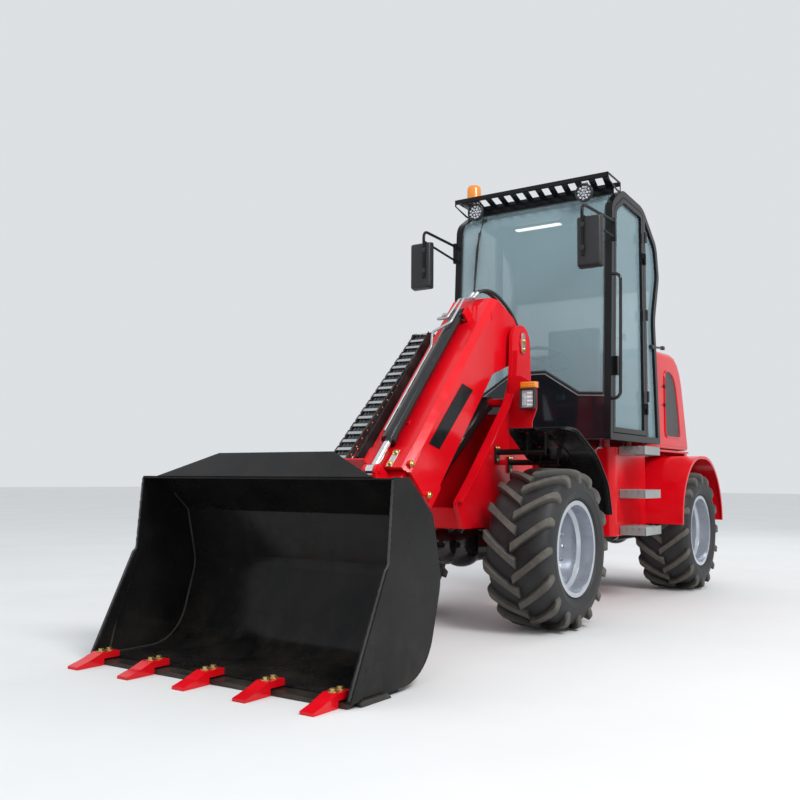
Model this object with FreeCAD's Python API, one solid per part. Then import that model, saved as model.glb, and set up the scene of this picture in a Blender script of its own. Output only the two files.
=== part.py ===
import FreeCAD, Part
import math
import os
from FreeCAD import Vector

os.makedirs("parts", exist_ok=True)

# A telescopic wheel loader, in millimetres. X points forward, Y to the machine's left, Z up.
# The ground is Z = 0, and the origin is under the middle of the whole length.

# Wheels and axles
tyreRadius = 462.5
tyreWidth = 400.0
lugHeight = 30.0
lugsPerSide = 16
wheelTrack = 1100.0
wheelbase = 2450.0
rimRadius = 258.0
rimThickness = 9.0
rimDiscInset = 20.0
hubRadius = 95.0
spindleRadius = 40.0
axleTubeRadius = 72.0
differentialRadius = 140.0
domeRadius = 105.0
domeAhead = 160.0
domeSide = -55.0
runningGap = 5.0
pinGap = 0.3
pinReach = 2.7
seatGap = 0.3

# The boom, which sets the reach ahead of the front axle: T runs down the boom from its pivot,
# N is square to it. It rests with the bucket's pivot low enough for the bucket to stand on the ground.
towerPivotBack = 330.0
towerPivotHeight = 1730.0
tipPivotHeight = 250.373
boomHalfWidth = 170.0
boomBottomN = 60.0
boomHeight = 310.0
boomLength = 1448.0
boomMidN = boomBottomN + boomHeight / 2
innerStickOut = 382.0
tipPivotT = boomLength + innerStickOut + 370.0
boomAngle = math.degrees(math.atan2(boomMidN, tipPivotT) + math.asin(
    (towerPivotHeight - tipPivotHeight) / math.hypot(tipPivotT, boomMidN)))
tipPivotAhead = (tipPivotT * math.cos(math.radians(boomAngle)) +
                 boomMidN * math.sin(math.radians(boomAngle)) - towerPivotBack)

# Reach of the whole machine from its axles
couplerReach = 207.767
toothReach = 800.0
rearOverhang = 600.0
frontAxleX = (wheelbase + rearOverhang - tipPivotAhead - couplerReach - toothReach) / 2
rearAxleX = frontAxleX - wheelbase
couplerFrontX = frontAxleX + tipPivotAhead + couplerReach

# Articulation between the two frames
steerPivotBack = 1000.0
steerPivotX = frontAxleX - steerPivotBack
steerPinRadius = 32.0
steerEarRadius = 90.0
steerEarThickness = 28.0
steerEarTop = 802.0
steerEarBottom = 440.0

# Steering cylinders, one each side of the pivot pin
steerRodZ = 620.0
steerEyeX = steerPivotX + 70.0
steerEyeY = 150.0
steerAnchorX = steerPivotX - 600.0
steerAnchorY = 170.0
steerBarrelRadius = 32.0
steerRodRadius = 17.0
steerBarrelLength = 430.0
steerRodTail = 190.0
steerEyeRadius = 26.0
steerEyeWidth = 66.0
steerEarGap = 36.0
steerLugThickness = 16.0
steerEyePinRadius = 12.5

# Front frame with its boom tower
frameFloor = 572.0
towerPlateInner = 195.0
towerPlateThickness = 25.0
towerEarRadius = 118.0
towerBackX = frontAxleX - 480.0
boomPinRadius = 35.0
towerPivotX = frontAxleX - towerPivotBack
armHalfWidth = 130.0

# Boom
boomWall = 10.0
boomChamfer = 35.0

# Lift cylinder
liftPinBack = 245.0
liftPinHeight = towerPivotHeight - 386.0
liftEyeT = boomLength - 178.0
liftEyeN = -30.0
liftBarrelRadius = 52.0
liftRodRadius = 30.0
liftEyeRadius = 46.0
liftEyeWidth = 70.0
liftRodShown = 207.6
liftPinRadius = 28.0

# Telescope
innerHalfWidth = 135.0
innerHeight = 240.0
innerTailT = 150.0
innerBoxEndT = boomLength + innerStickOut
tipEarRadius = 58.0
tipPinRadius = 24.0
cheekThickness = 24.0
telescopeStroke = 550.0
extendRadius = 38.0
extendRodRadius = 22.0
extendBackT = 180.0
extendLength = boomLength - extendBackT - 158.0
extendPinRadius = 14.0
extendN = boomBottomN + boomHeight + 8.0 + extendRadius

# Cable chain and its tray, in the boom's frame
chainStartT = 240.0
chainEndT = boomLength - 48.0
chainOuterY = -302.0
chainInnerY = -184.0
chainFloorN = 250.0
chainRearN = 377.0
chainFrontN = 458.0
chainLink = 42.0
chainPitch = 112.0
chainSlat = 40.0
innerBracketT = boomLength + 8.0

# Pipes and hoses
pipeRadius = 8.0
hoseRadius = 11.0
hoseBend = 70.0
hoseStarts = (4.0, 34.0)
hoseSides = (86.0, 122.0)
pipeStartN = 402.0
hoseEndX = towerPivotX - 195.0
hoseEndZ = towerPivotHeight - 260.0

# Bucket, seen from its side
bucketHalfWidth = 757.0
bucketPlate = 8.0
bucketSidePlate = 10.0
bucketBottomZ = 20.0
edgeThickness = 16.0
toothPitch = 338.0
toothWidth = 66.0
toothCount = 5
spillGuardHeight = 112.0
couplerGap = 0.3

# Tilt linkage
linkArm = 230.0
linkArmAngle = 76.6
linkLength = 300.0
linkEyeRadius = 34.0
linkPinRadius = 18.0
rockerPinRadius = 20.0

# Cab
cabHalfWidth = 617.0
cabFloorZ = 1125.0
cabPost = 46.0
glassThickness = 6.0
doorGap = 6.0
doorFrame = 34.0
doorSplitBack = 1540.0
cabWaistZ = 1425.0
visorZ = 2925.0
beaconTop = 3095.0
doorHingeX = frontAxleX - doorSplitBack + doorGap / 2
doorHingeY = cabHalfWidth + 11.0
doorHingeHeights = (1330.0, 2440.0)

# Rear frame and bodywork
railInner = 290.0
railThickness = 20.0
tankHalfWidth = 478.0
tankFrontBack = 1240.0
tankRearBack = 1900.0
tankBottom = 460.0
deckZ = 1090.0
rearFenderReach = 550.0
rearFenderTop = 1050.0
rearFenderBottom = 528.0
rearFenderRadius = 505.0
fenderHalfWidth = 760.0
fenderInner = 395.0
fenderPlate = 6.0
hoodHalfWidth = 500.0
hoodBottomZ = 1100.0
hoodTopZ = 1890.0
hoodWall = 8.0
hoodFrontBack = 1933.0
hoodFrontX = frontAxleX - hoodFrontBack
hoodHingeX = hoodFrontX + 22.0
hoodHingeZ = 1848.0
hoodHingeSides = (-300.0, 300.0)
engineFoot = 660.0
weightHalfWidth = 470.0
towBoreRadius = 15.0
stepTops = (1100.0, 790.0, 530.0)
stepDepth = 190.0
stepHeight = 62.0
stepLength = 330.0


# Shape helpers

def corner(point, before, after):
    # One corner of an outline: the point itself, or the three points of its arc
    here = Vector(point[0], point[1], 0)
    radius = point[2] if len(point) > 2 else 0.0
    if radius <= 0.0:
        return [here]
    toBefore = (Vector(before[0], before[1], 0) - here).normalize()
    toAfter = (Vector(after[0], after[1], 0) - here).normalize()
    half = toBefore.getAngle(toAfter) / 2
    reach = radius / math.tan(half)
    middle = (toBefore + toAfter).normalize() * (radius / math.sin(half) - radius)
    return [here + toBefore * reach, here + middle, here + toAfter * reach]


def outlineFace(points, place):
    # A flat face whose corners (a, b, radius) are rounded where they have a radius
    count = len(points)
    corners = [corner(points[i], points[i - 1], points[(i + 1) % count]) for i in range(count)]
    edges = []
    for i in range(count):
        here = corners[i]
        following = corners[(i + 1) % count]
        if len(here) == 3:
            edges.append(Part.Arc(place(here[0]), place(here[1]), place(here[2])).toShape())
        if here[-1].distanceToPoint(following[0]) > 0.001:
            edges.append(Part.LineSegment(place(here[-1]), place(following[0])).toShape())
    return Part.Face(Part.Wire(edges))


def plateY(points, low, high):
    # An outline in (x, z), as thick as low to high along Y
    face = outlineFace(points, lambda p: Vector(p.x, low, p.y))
    return face.extrude(Vector(0, high - low, 0))


def plateX(points, low, high):
    # An outline in (y, z), as thick as low to high along X
    face = outlineFace(points, lambda p: Vector(low, p.x, p.y))
    return face.extrude(Vector(high - low, 0, 0))


def plateZ(points, low, high):
    # An outline in (x, y), as thick as low to high along Z
    face = outlineFace(points, lambda p: Vector(p.x, p.y, low))
    return face.extrude(Vector(0, 0, high - low))


def strip(points, thickness):
    # The closed outline of a bent sheet: an open path, and the same path moved to its left
    moved = []
    last = len(points) - 1
    for i, point in enumerate(points):
        here = Vector(point[0], point[1], 0)
        ways = []
        if i > 0:
            ways.append((here - Vector(points[i - 1][0], points[i - 1][1], 0)).normalize())
        if i < last:
            ways.append((Vector(points[i + 1][0], points[i + 1][1], 0) - here).normalize())
        normals = [Vector(-way.y, way.x, 0) for way in ways]
        middle = sum(normals[1:], normals[0]).normalize()
        spot = here + middle * (thickness / middle.dot(normals[0]))
        radius = point[2] if len(point) > 2 else 0.0
        if radius > 0.0 and len(ways) == 2:
            turnsLeft = ways[0].x * ways[1].y - ways[0].y * ways[1].x > 0
            radius = radius - thickness if turnsLeft else radius + thickness
        moved.append((spot.x, spot.y, radius))
    return list(points) + moved[::-1]


def block(x0, x1, y0, y1, z0, z1):
    return Part.makeBox(x1 - x0, y1 - y0, z1 - z0, Vector(x0, y0, z0))


def rod(start, end, radius):
    way = end - start
    return Part.makeCylinder(radius, way.Length, start, way)


def rodY(x, z, radius, low, high):
    return Part.makeCylinder(radius, high - low, Vector(x, low, z), Vector(0, 1, 0))


def rodX(y, z, radius, low, high):
    return Part.makeCylinder(radius, high - low, Vector(low, y, z), Vector(1, 0, 0))


def rodZ(x, y, radius, low, high):
    return Part.makeCylinder(radius, high - low, Vector(x, y, low), Vector(0, 0, 1))


def fuse(shapes):
    return shapes[0].multiFuse(shapes[1:]).removeSplitter() if len(shapes) > 1 else shapes[0]


def mirror(shape):
    return shape.mirror(Vector(0, 0, 0), Vector(0, 1, 0))


def bothSides(shape):
    return [shape, mirror(shape)]


def tube(points, radius, bendRadius):
    # A round tube along straight runs joined by arcs
    edges = []
    at = points[0]
    for i in range(1, len(points) - 1):
        here = points[i]
        toBefore = (points[i - 1] - here).normalize()
        toAfter = (points[i + 1] - here).normalize()
        half = toBefore.getAngle(toAfter) / 2
        reach = bendRadius / math.tan(half)
        start = here + toBefore * reach
        end = here + toAfter * reach
        middle = here + (toBefore + toAfter).normalize() * (bendRadius / math.sin(half) - bendRadius)
        edges.append(Part.LineSegment(at, start).toShape())
        edges.append(Part.Arc(start, middle, end).toShape())
        at = end
    edges.append(Part.LineSegment(at, points[-1]).toShape())
    wire = Part.Wire(edges)
    circle = Part.Wire([Part.Circle(points[0], points[1] - points[0], radius).toShape()])
    return wire.makePipeShell([circle], True, False, 2)


def onBoom(shape):
    # From the boom's own slanted frame (T, Y, N) to its place on the machine
    turned = shape.copy()
    turned.rotate(Vector(0, 0, 0), Vector(0, 1, 0), boomAngle)
    turned.translate(Vector(towerPivotX, 0, towerPivotHeight))
    return turned


def boomPoint(t, n):
    angle = math.radians(boomAngle)
    x = towerPivotX + t * math.cos(angle) + n * math.sin(angle)
    z = towerPivotHeight - t * math.sin(angle) + n * math.cos(angle)
    return Vector(x, 0, z)


def polyhedron(vertices, faces):
    made = []
    for face in faces:
        corners = [vertices[i] for i in face]
        made.append(Part.Face(Part.makePolygon(corners + [corners[0]])))
    solid = Part.makeSolid(Part.makeShell(made))
    if solid.Volume < 0:
        solid.reverse()
    return solid


nodes = {}


# Tyres: a faceted carcass with slanting lugs, on the wheel's own axis along Y

carcassSegments = 12
treadRadius = tyreRadius - lugHeight

# Half section of the carcass: (share of half width, share of tread radius)
carcassHalf = ((0.80, 0.99), (1.0, 0.83), (0.86, 0.66))


def carcass():
    half = tyreWidth / 2
    section = [(y * half, r * treadRadius) for y, r in carcassHalf]
    bore = (rimRadius + seatGap) / math.cos(math.pi / carcassSegments)
    section.append((section[-1][0], bore))
    ring = section[::-1] + [(-y, r) for y, r in section]
    vertices = []
    for i in range(carcassSegments):
        angle = 2 * math.pi * i / carcassSegments
        vertices += [Vector(r * math.cos(angle), y, r * math.sin(angle)) for y, r in ring]
    width = len(ring)
    faces = []
    for i in range(carcassSegments):
        this = i * width
        following = (i + 1) % carcassSegments * width
        for j in range(width):
            k = (j + 1) % width
            faces.append((this + j, this + k, following + k, following + j))
    return polyhedron(vertices, faces)


# Stations of one lug: (share of half width, tip radius share, sweep in degrees, width in degrees)
lugStations = ((-0.06, 1.0, 0.0, 6.6), (1.0, 0.96, 20.0, 6.4))
lugRoot = 0.84


def lug(turn, side):
    half = tyreWidth / 2
    vertices = []
    for share, tip, sweep, width in lugStations:
        for radius in (tyreRadius * tip, tyreRadius * tip * lugRoot):
            for edge in (-0.5, 0.5):
                angle = math.radians(turn + sweep + edge * width)
                vertices.append(Vector(radius * math.cos(angle), side * share * half,
                                       radius * math.sin(angle)))
    faces = [(0, 1, 3), (0, 3, 2)]
    ring = (0, 1, 3, 2)
    for j in range(4):
        a, b = ring[j], ring[(j + 1) % 4]
        faces.append((a, b, b + 4))
        faces.append((a, b + 4, a + 4))
    faces += [(4, 7, 5), (4, 6, 7)]
    return polyhedron(vertices, faces)


def tyre():
    pitch = 360.0 / lugsPerSide
    # Turned so that one lug's edge points straight down
    lead = lugStations[0][3] / 2
    lugs = []
    for i in range(lugsPerSide):
        lugs.append(lug(i * pitch + lead, 1))
        lugs.append(lug((i + 0.5) * pitch + lead, -1))
    return carcass().multiFuse(lugs)


def rim():
    # A deep rim with a dished disc and its hub, outer face towards +Y
    half = tyreWidth / 2 * carcassHalf[-1][0]
    flange = half + rimThickness
    lip = rimRadius + 17.0
    inside = rimRadius - rimThickness
    discIn = -rimDiscInset
    discOut = discIn + 12.0
    well = 22.0
    section = [
        (-flange, inside), (-flange, lip), (-half - seatGap, lip), (-half - seatGap, rimRadius),
        (-half * 0.55, rimRadius), (-half * 0.45, rimRadius - well), (half * 0.45, rimRadius - well),
        (half * 0.55, rimRadius), (half + seatGap, rimRadius), (half + seatGap, lip), (flange, lip),
        (flange, inside), (half * 0.55 + 4.0, inside), (half * 0.45 + 4.0, inside - well),
        (discOut, inside - well), (discOut + 26.0, hubRadius + 55.0), (discOut + 26.0, hubRadius),
        (discOut + 60.0, hubRadius - 20.0), (discOut + 60.0, 0.0), (discOut + 36.0, 0.0),
        (discOut + 36.0, spindleRadius + pinGap), (discIn - 34.0, spindleRadius + pinGap),
        (discIn - 34.0, hubRadius), (discIn + 20.0, hubRadius + 8.0),
        (discIn + 20.0, hubRadius + 50.0), (discIn, inside - well),
        (-half * 0.45 - 4.0, inside - well), (-half * 0.55 - 4.0, inside),
    ]
    points = [Vector(r, y, 0) for y, r in section]
    face = Part.Face(Part.makePolygon(points + [points[0]]))
    return face.revolve(Vector(0, 0, 0), Vector(0, 1, 0), 360)


leftTyre = tyre()
leftRim = rim()
for end, axleX in (("front", frontAxleX), ("rear", rearAxleX)):
    spot = Vector(axleX, wheelTrack / 2, tyreRadius)
    for piece, shape in (("tyre", leftTyre), ("rim", leftRim)):
        placed = shape.copy()
        placed.translate(spot)
        nodes[end + "_" + piece + "_left"] = placed
        nodes[end + "_" + piece + "_right"] = mirror(placed)


# Axles, with the differential bulging to one end

def axle(axleX, way):
    wheelFace = wheelTrack / 2 - rimDiscInset - 34.0
    tubeEnd = wheelFace - runningGap
    spindleEnd = wheelTrack / 2 - rimDiscInset + 40.0
    cone = Part.makeCone(differentialRadius * 0.8, axleTubeRadius, 190.0,
                         Vector(axleX, 40.0, tyreRadius), Vector(0, 1, 0))
    bulge = Part.makeSphere(differentialRadius, Vector(axleX + way * 60.0, 0, tyreRadius))
    domeX = axleX + way * domeAhead
    dome = Part.makeSphere(domeRadius, Vector(domeX, domeSide, tyreRadius))
    flange = rodX(domeSide, tyreRadius, domeRadius + 16.0, domeX - 24.0, domeX - 4.0)
    neck = rod(Vector(axleX, domeSide, tyreRadius), Vector(domeX, domeSide, tyreRadius), domeRadius - 4.0)
    pieces = [
        rodY(axleX, tyreRadius, axleTubeRadius, -tubeEnd, tubeEnd),
        rodY(axleX, tyreRadius, spindleRadius, -spindleEnd, spindleEnd),
        rodX(0, tyreRadius, differentialRadius * 0.8, axleX - 110.0, axleX + 110.0),
        rod(Vector(axleX, 0, tyreRadius), Vector(axleX - way * 210.0, 0, tyreRadius), 48.0),
        bulge, neck, flange, dome, cone, mirror(cone),
    ]
    for y in (-230.0, 230.0):
        pieces.append(rodY(axleX, tyreRadius, axleTubeRadius + 22.0, y - 18.0, y + 18.0))
    return fuse(pieces)


nodes["front_axle"] = axle(frontAxleX, 1)
nodes["rear_axle"] = axle(rearAxleX, -1)


# Front frame: two tower plates, their cross walls, and the ears of the articulation

def frontFrame():
    plateOuter = towerPlateInner + towerPlateThickness
    earTop = towerPivotHeight + towerEarRadius
    tower = [
        (towerPivotX - towerEarRadius, earTop, towerEarRadius - 2.0),
        (towerPivotX + towerEarRadius, earTop, towerEarRadius - 2.0),
        (frontAxleX - 185.0, towerPivotHeight - 330.0, 420.0),
        (frontAxleX + 330.0, 870.0, 260.0),
        (frontAxleX + 490.0, 720.0, 25.0),
        (frontAxleX + 420.0, frameFloor, 15.0),
        (towerBackX, frameFloor),
        (towerBackX, 1250.0, 80.0),
    ]
    side = plateY(tower, towerPlateInner, plateOuter)
    inner = towerPlateInner
    floor = block(towerBackX, frontAxleX + 415.0, -inner, inner, frameFloor, frameFloor + 20.0)
    floor = floor.cut(block(frontAxleX - 130.0, frontAxleX + 200.0, -185.0, 135.0, frameFloor - 1.0,
                            frameFloor + 21.0))
    back = block(towerBackX, towerBackX + 20.0, -inner, inner, frameFloor, 1290.0)
    nose = plateY(strip([(frontAxleX + 425.0, frameFloor + 5.0), (frontAxleX + 452.0, 690.0)], 16.0),
                  -inner, inner)
    armSide = block(steerPivotX + 150.0, frontAxleX - 150.0, armHalfWidth - 20.0, armHalfWidth,
                    steerEarBottom, steerEarTop)
    axleSeat = block(frontAxleX - 90.0, frontAxleX + 90.0, 200.0, 260.0,
                     tyreRadius + axleTubeRadius - 10.0, frameFloor - seatGap)
    ear = [
        (steerPivotX - steerEarRadius, steerEarRadius, steerEarRadius - 1.0),
        (steerPivotX - steerEarRadius, -steerEarRadius, steerEarRadius - 1.0),
        (steerPivotX + 150.0, -armHalfWidth), (towerBackX + 10.0, -armHalfWidth),
        (towerBackX + 10.0, armHalfWidth), (steerPivotX + 150.0, armHalfWidth),
    ]
    bore = rodZ(steerPivotX, 0, steerPinRadius + pinGap, steerEarBottom - 5.0, steerEarTop + 5.0)
    upperEar = plateZ(ear, steerEarTop - steerEarThickness, steerEarTop).cut(bore)
    lowerEar = plateZ(ear, steerEarBottom, steerEarBottom + steerEarThickness).cut(bore)
    boomPin = rodY(towerPivotX, towerPivotHeight, boomPinRadius, -plateOuter - 8.0, plateOuter + 8.0)
    liftPin = rodY(frontAxleX - liftPinBack, liftPinHeight, liftPinRadius, -plateOuter, plateOuter)
    shapes = [side, mirror(side), floor, back, nose, upperEar, lowerEar, boomPin, liftPin]
    shapes += bothSides(armSide)
    # Flanges that stiffen the front edges of the two plates
    front = [(frontAxleX + 480.0, 735.0), (frontAxleX + 330.0, 870.0, 260.0),
             (frontAxleX - 185.0, towerPivotHeight - 330.0, 420.0), (towerPivotX + 125.0, towerPivotHeight - 60.0)]
    shapes += bothSides(plateY(strip(front, 12.0), plateOuter - 1.0, plateOuter + 34.0))
    keeper = plateY([
        (towerPivotX - 24.0, towerPivotHeight - 62.0, 22.0), (towerPivotX + 24.0, towerPivotHeight - 62.0, 22.0),
        (towerPivotX + 24.0, towerPivotHeight + 78.0, 22.0), (towerPivotX - 24.0, towerPivotHeight + 78.0, 22.0)],
        plateOuter, plateOuter + 9.0)
    shapes += bothSides(keeper)
    # Ears for the steering cylinders, above and below each rod's eye and its pin
    for z in (steerRodZ - steerEarGap - steerLugThickness, steerRodZ + steerEarGap):
        shapes += bothSides(plateZ([
            (steerEyeX - 60.0, armHalfWidth - 25.0), (steerEyeX - 60.0, steerEyeY + 48.0, 35.0),
            (steerEyeX + 60.0, steerEyeY + 48.0, 35.0), (steerPivotX + 240.0, armHalfWidth - 5.0),
            (steerPivotX + 240.0, armHalfWidth - 25.0)], z, z + steerLugThickness))
    return fuse(shapes), axleSeat


frontFrameShape, axleSeatShape = frontFrame()
nodes["front_frame"] = frontFrameShape
nodes["front_axle"] = fuse([nodes["front_axle"]] + bothSides(axleSeatShape))


def cylinderPair(start, end, barrelLength, tailAt, barrelRadius, rodRadius, eyeRadius, eyeWidth, bore, across):
    # A hydraulic cylinder from its barrel's bored eye to its rod's eye, which carries its own pin.
    # The pins lie along "across".
    way = (end - start).normalize()
    gland = start + way * barrelLength

    def eye(spot):
        low = spot - across * (eyeWidth / 2)
        return Part.makeCylinder(eyeRadius, eyeWidth, low, across)

    def hole(spot):
        low = spot - across * eyeWidth
        return Part.makeCylinder(bore + pinGap, 2 * eyeWidth, low, across)

    barrel = rod(start + way * (eyeRadius * 0.8), gland, barrelRadius)
    collar = rod(gland - way * 34.0, gland, barrelRadius + 5.0)
    chamber = rod(start + way * (eyeRadius + 30.0), gland + way, rodRadius + pinGap)
    barrel = fuse([barrel, collar, eye(start)]).cut(chamber).cut(hole(start))
    tail = start + way * tailAt
    shaft = rod(tail, end - way * (eyeRadius * 0.7), rodRadius)
    stub = Part.makeCylinder(bore, eyeWidth + 2 * pinReach, end - across * (eyeWidth / 2 + pinReach), across)
    return barrel, fuse([shaft, eye(end), stub])


liftStart = Vector(frontAxleX - liftPinBack, 0, liftPinHeight)
liftEnd = boomPoint(liftEyeT, liftEyeN)
liftBarrel, liftRod = cylinderPair(
    liftStart, liftEnd, (liftEnd - liftStart).Length - liftRodShown, liftEyeRadius + 60.0, liftBarrelRadius, liftRodRadius,
    liftEyeRadius, liftEyeWidth, liftPinRadius, Vector(0, 1, 0))
nodes["lift_cylinder_barrel"] = liftBarrel
nodes["lift_cylinder_rod"] = liftRod

steerStart = Vector(steerAnchorX, steerAnchorY, steerRodZ)
steerEnd = Vector(steerEyeX, steerEyeY, steerRodZ)
steerBarrel, steerRod = cylinderPair(
    steerStart, steerEnd, steerBarrelLength, steerRodTail, steerBarrelRadius, steerRodRadius,
    steerEyeRadius, steerEyeWidth, steerEyePinRadius, Vector(0, 0, 1))
nodes["steer_barrel_left"] = steerBarrel
nodes["steer_barrel_right"] = mirror(steerBarrel)
nodes["steer_rod_left"] = steerRod
nodes["steer_rod_right"] = mirror(steerRod)


# Front fenders: a bent black sheet on a tube bracket

frontFenderPath = [
    (frontAxleX + 195.0, 1153.0), (frontAxleX + 50.0, 1150.0, 250.0), (frontAxleX - 260.0, 1005.0, 400.0),
    (frontAxleX - 435.0, 830.0, 200.0), (frontAxleX - 486.0, 645.0),
]
fenderRibs = (fenderInner + 12.0, (fenderInner + fenderHalfWidth) / 2 - 11.0, fenderHalfWidth - 34.0)


def frontFender():
    sheet = plateY(strip(frontFenderPath, fenderPlate), fenderInner, fenderHalfWidth)
    under = strip(frontFenderPath, fenderPlate)[:len(frontFenderPath) - 1:-1]
    ribs = [plateY(strip(under, 9.0), y, y + 22.0) for y in fenderRibs]
    return fuse([sheet] + ribs)


def fenderBracket():
    # Tubes from the tower, each with an upright trimmed just under the fender's sheet
    plateOuter = towerPlateInner + towerPlateThickness
    under = strip(frontFenderPath, fenderPlate + seatGap)[len(frontFenderPath):]
    above = plateY(under[::-1] + [(towerBackX - 400.0, 640.0), (towerBackX - 400.0, 1500.0),
                                  (frontAxleX + 585.0, 1500.0)], 0.0, 900.0)
    shapes = []
    first, second = fenderRibs[0] + 25.0, fenderRibs[1] - 3.0
    for x, z in ((frontAxleX + 20.0, 1020.0), (frontAxleX - 150.0, 960.0)):
        uprights = [block(x - 18.0, x + 18.0, y, y + 12.0, z, 1300.0).cut(above) for y in (first, second - 12.0)]
        shapes.append(fuse([
            rodY(x, z, 17.0, plateOuter, second),
            block(x - 24.0, x + 24.0, plateOuter, plateOuter + 12.0, z - 65.0, z + 35.0)] + uprights))
    return shapes


fender = frontFender()
nodes["front_fender_left"] = fender
nodes["front_fender_right"] = mirror(fender)


# Boom: a box with bent long edges, its pivot ears behind and the lift lugs beneath

def boomOuter():
    top = boomBottomN + boomHeight
    side = [
        (-22.0, top), (-118.0, 118.0, 60.0), (-105.0, -60.0, 95.0), (40.0, -112.0, 90.0),
        (365.0, boomBottomN + 8.0, 60.0), (boomLength, boomBottomN), (boomLength, top),
    ]
    outer = plateY(side, -boomHalfWidth, boomHalfWidth)
    c = boomChamfer
    section = plateX([
        (-boomHalfWidth + c, top), (-boomHalfWidth, top - c), (-boomHalfWidth, -200.0),
        (boomHalfWidth, -200.0), (boomHalfWidth, top - c), (boomHalfWidth - c, top)], -300.0, boomLength)
    body = outer.common(section)
    w = boomWall
    hollow = plateX([
        (-boomHalfWidth + c, top - w), (-boomHalfWidth + w, top - c), (-boomHalfWidth + w, boomBottomN + w),
        (boomHalfWidth - w, boomBottomN + w), (boomHalfWidth - w, top - c), (boomHalfWidth - c, top - w)],
        90.0, boomLength + 1.0)
    rearGap = plateY([(-300.0, 45.0), (-300.0, -300.0), (300.0, -300.0), (300.0, 40.0), (90.0, 60.0)],
                     -boomHalfWidth + 30.0, boomHalfWidth - 30.0)
    body = body.cut(hollow).cut(rearGap)
    boss = rodY(0, 0, boomPinRadius + 22.0, -towerPlateInner + runningGap, towerPlateInner - runningGap)
    lugs = []
    for y in (-liftEyeWidth / 2 - 19.0, liftEyeWidth / 2 + 3.0):
        lugs.append(plateY([
            (liftEyeT - 95.0, boomBottomN + 2.0), (liftEyeT - 48.0, liftEyeN - 46.0, 44.0),
            (liftEyeT + 48.0, liftEyeN - 46.0, 44.0), (liftEyeT + 95.0, boomBottomN + 2.0)], y, y + 16.0))
    collar = plateX([
        (-boomHalfWidth - 8.0, boomBottomN - 8.0), (boomHalfWidth + 8.0, boomBottomN - 8.0),
        (boomHalfWidth + 8.0, top - c), (boomHalfWidth - c + 4.0, top + 8.0),
        (-boomHalfWidth + c - 4.0, top + 8.0), (-boomHalfWidth - 8.0, top - c)], boomLength - 150.0, boomLength)
    collar = collar.cut(section).cut(outer)
    saddle = [rodY(extendBackT, extendN, extendPinRadius, -62.0, 62.0)]
    for y in (-62.0, 46.0):
        saddle.append(block(extendBackT - 40.0, extendBackT + 30.0, y, y + 16.0, top - 5.0, extendN + 24.0))
    saddle.append(block(extendBackT + extendLength - 210.0, extendBackT + extendLength - 180.0, -30.0, 30.0, top - 2.0,
                        extendN - extendRadius - seatGap))
    tray = [block(chainStartT, chainEndT, chainOuterY - 6.0, -boomHalfWidth + 2.0, chainFloorN - 6.0, chainFloorN),
            block(chainStartT, chainEndT, chainOuterY - 12.0, chainOuterY - 6.0, chainFloorN - 6.0,
                  chainFloorN + 40.0)]
    # Slide pads round the inner boom, at the boom's mouth
    low = boomMidN - innerHeight / 2
    high = boomMidN + innerHeight / 2
    padT = (boomLength - 130.0, boomLength - 20.0)
    pads = [block(*padT, -100.0, 100.0, boomBottomN + w - 1.0, low - seatGap),
            block(*padT, -100.0, 100.0, high + seatGap, top - w + 1.0)]
    pads += bothSides(block(*padT, innerHalfWidth + seatGap, boomHalfWidth - w + 1.0, low + 50.0, high - 50.0))
    whole = fuse([body, boss, collar] + lugs + saddle + tray + pads)
    bore = rodY(0, 0, boomPinRadius + pinGap, -boomHalfWidth - 40.0, boomHalfWidth + 40.0)
    return onBoom(whole.cut(bore))


nodes["boom"] = boomOuter()


# Cable chain beside the boom: two link bands with slats across, looped at its upper end.
# Its upper run rises towards the front, where the inner boom's bracket carries it.

def cableChain():
    y0 = chainOuterY
    y1 = chainInnerY
    band = 10.0
    startT = chainStartT + 8.0
    endT = chainEndT
    frontT = innerBracketT - 4.0
    rise = chainFrontN - chainRearN
    path = [(endT, chainFloorN), (startT, chainFloorN, 60.0), (startT - 2.0, chainRearN, 60.0),
            (frontT, chainFrontN)]
    side = strip(path, -chainLink)
    shapes = [plateY(side, y0, y0 + band), plateY(side, y1 - band, y1)]
    count = int((endT - startT - 90.0) / chainPitch)
    for i in range(count):
        t = startT + 70.0 + i * chainPitch
        n = chainRearN + rise * (t - startT) / (frontT - startT)
        slope = rise / (frontT - startT)
        shapes.append(plateY([(t, n - chainLink + 3.0), (t, n - 3.0), (t + chainSlat, n - 3.0 + chainSlat * slope),
                              (t + chainSlat, n - chainLink + 3.0 + chainSlat * slope)],
                             y0 + band - 1.0, y1 - band + 1.0))
    return onBoom(fuse(shapes))


nodes["cable_chain"] = cableChain()


# Telescope cylinder on the boom's top, its rod's eye on the inner boom's bracket

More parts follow.
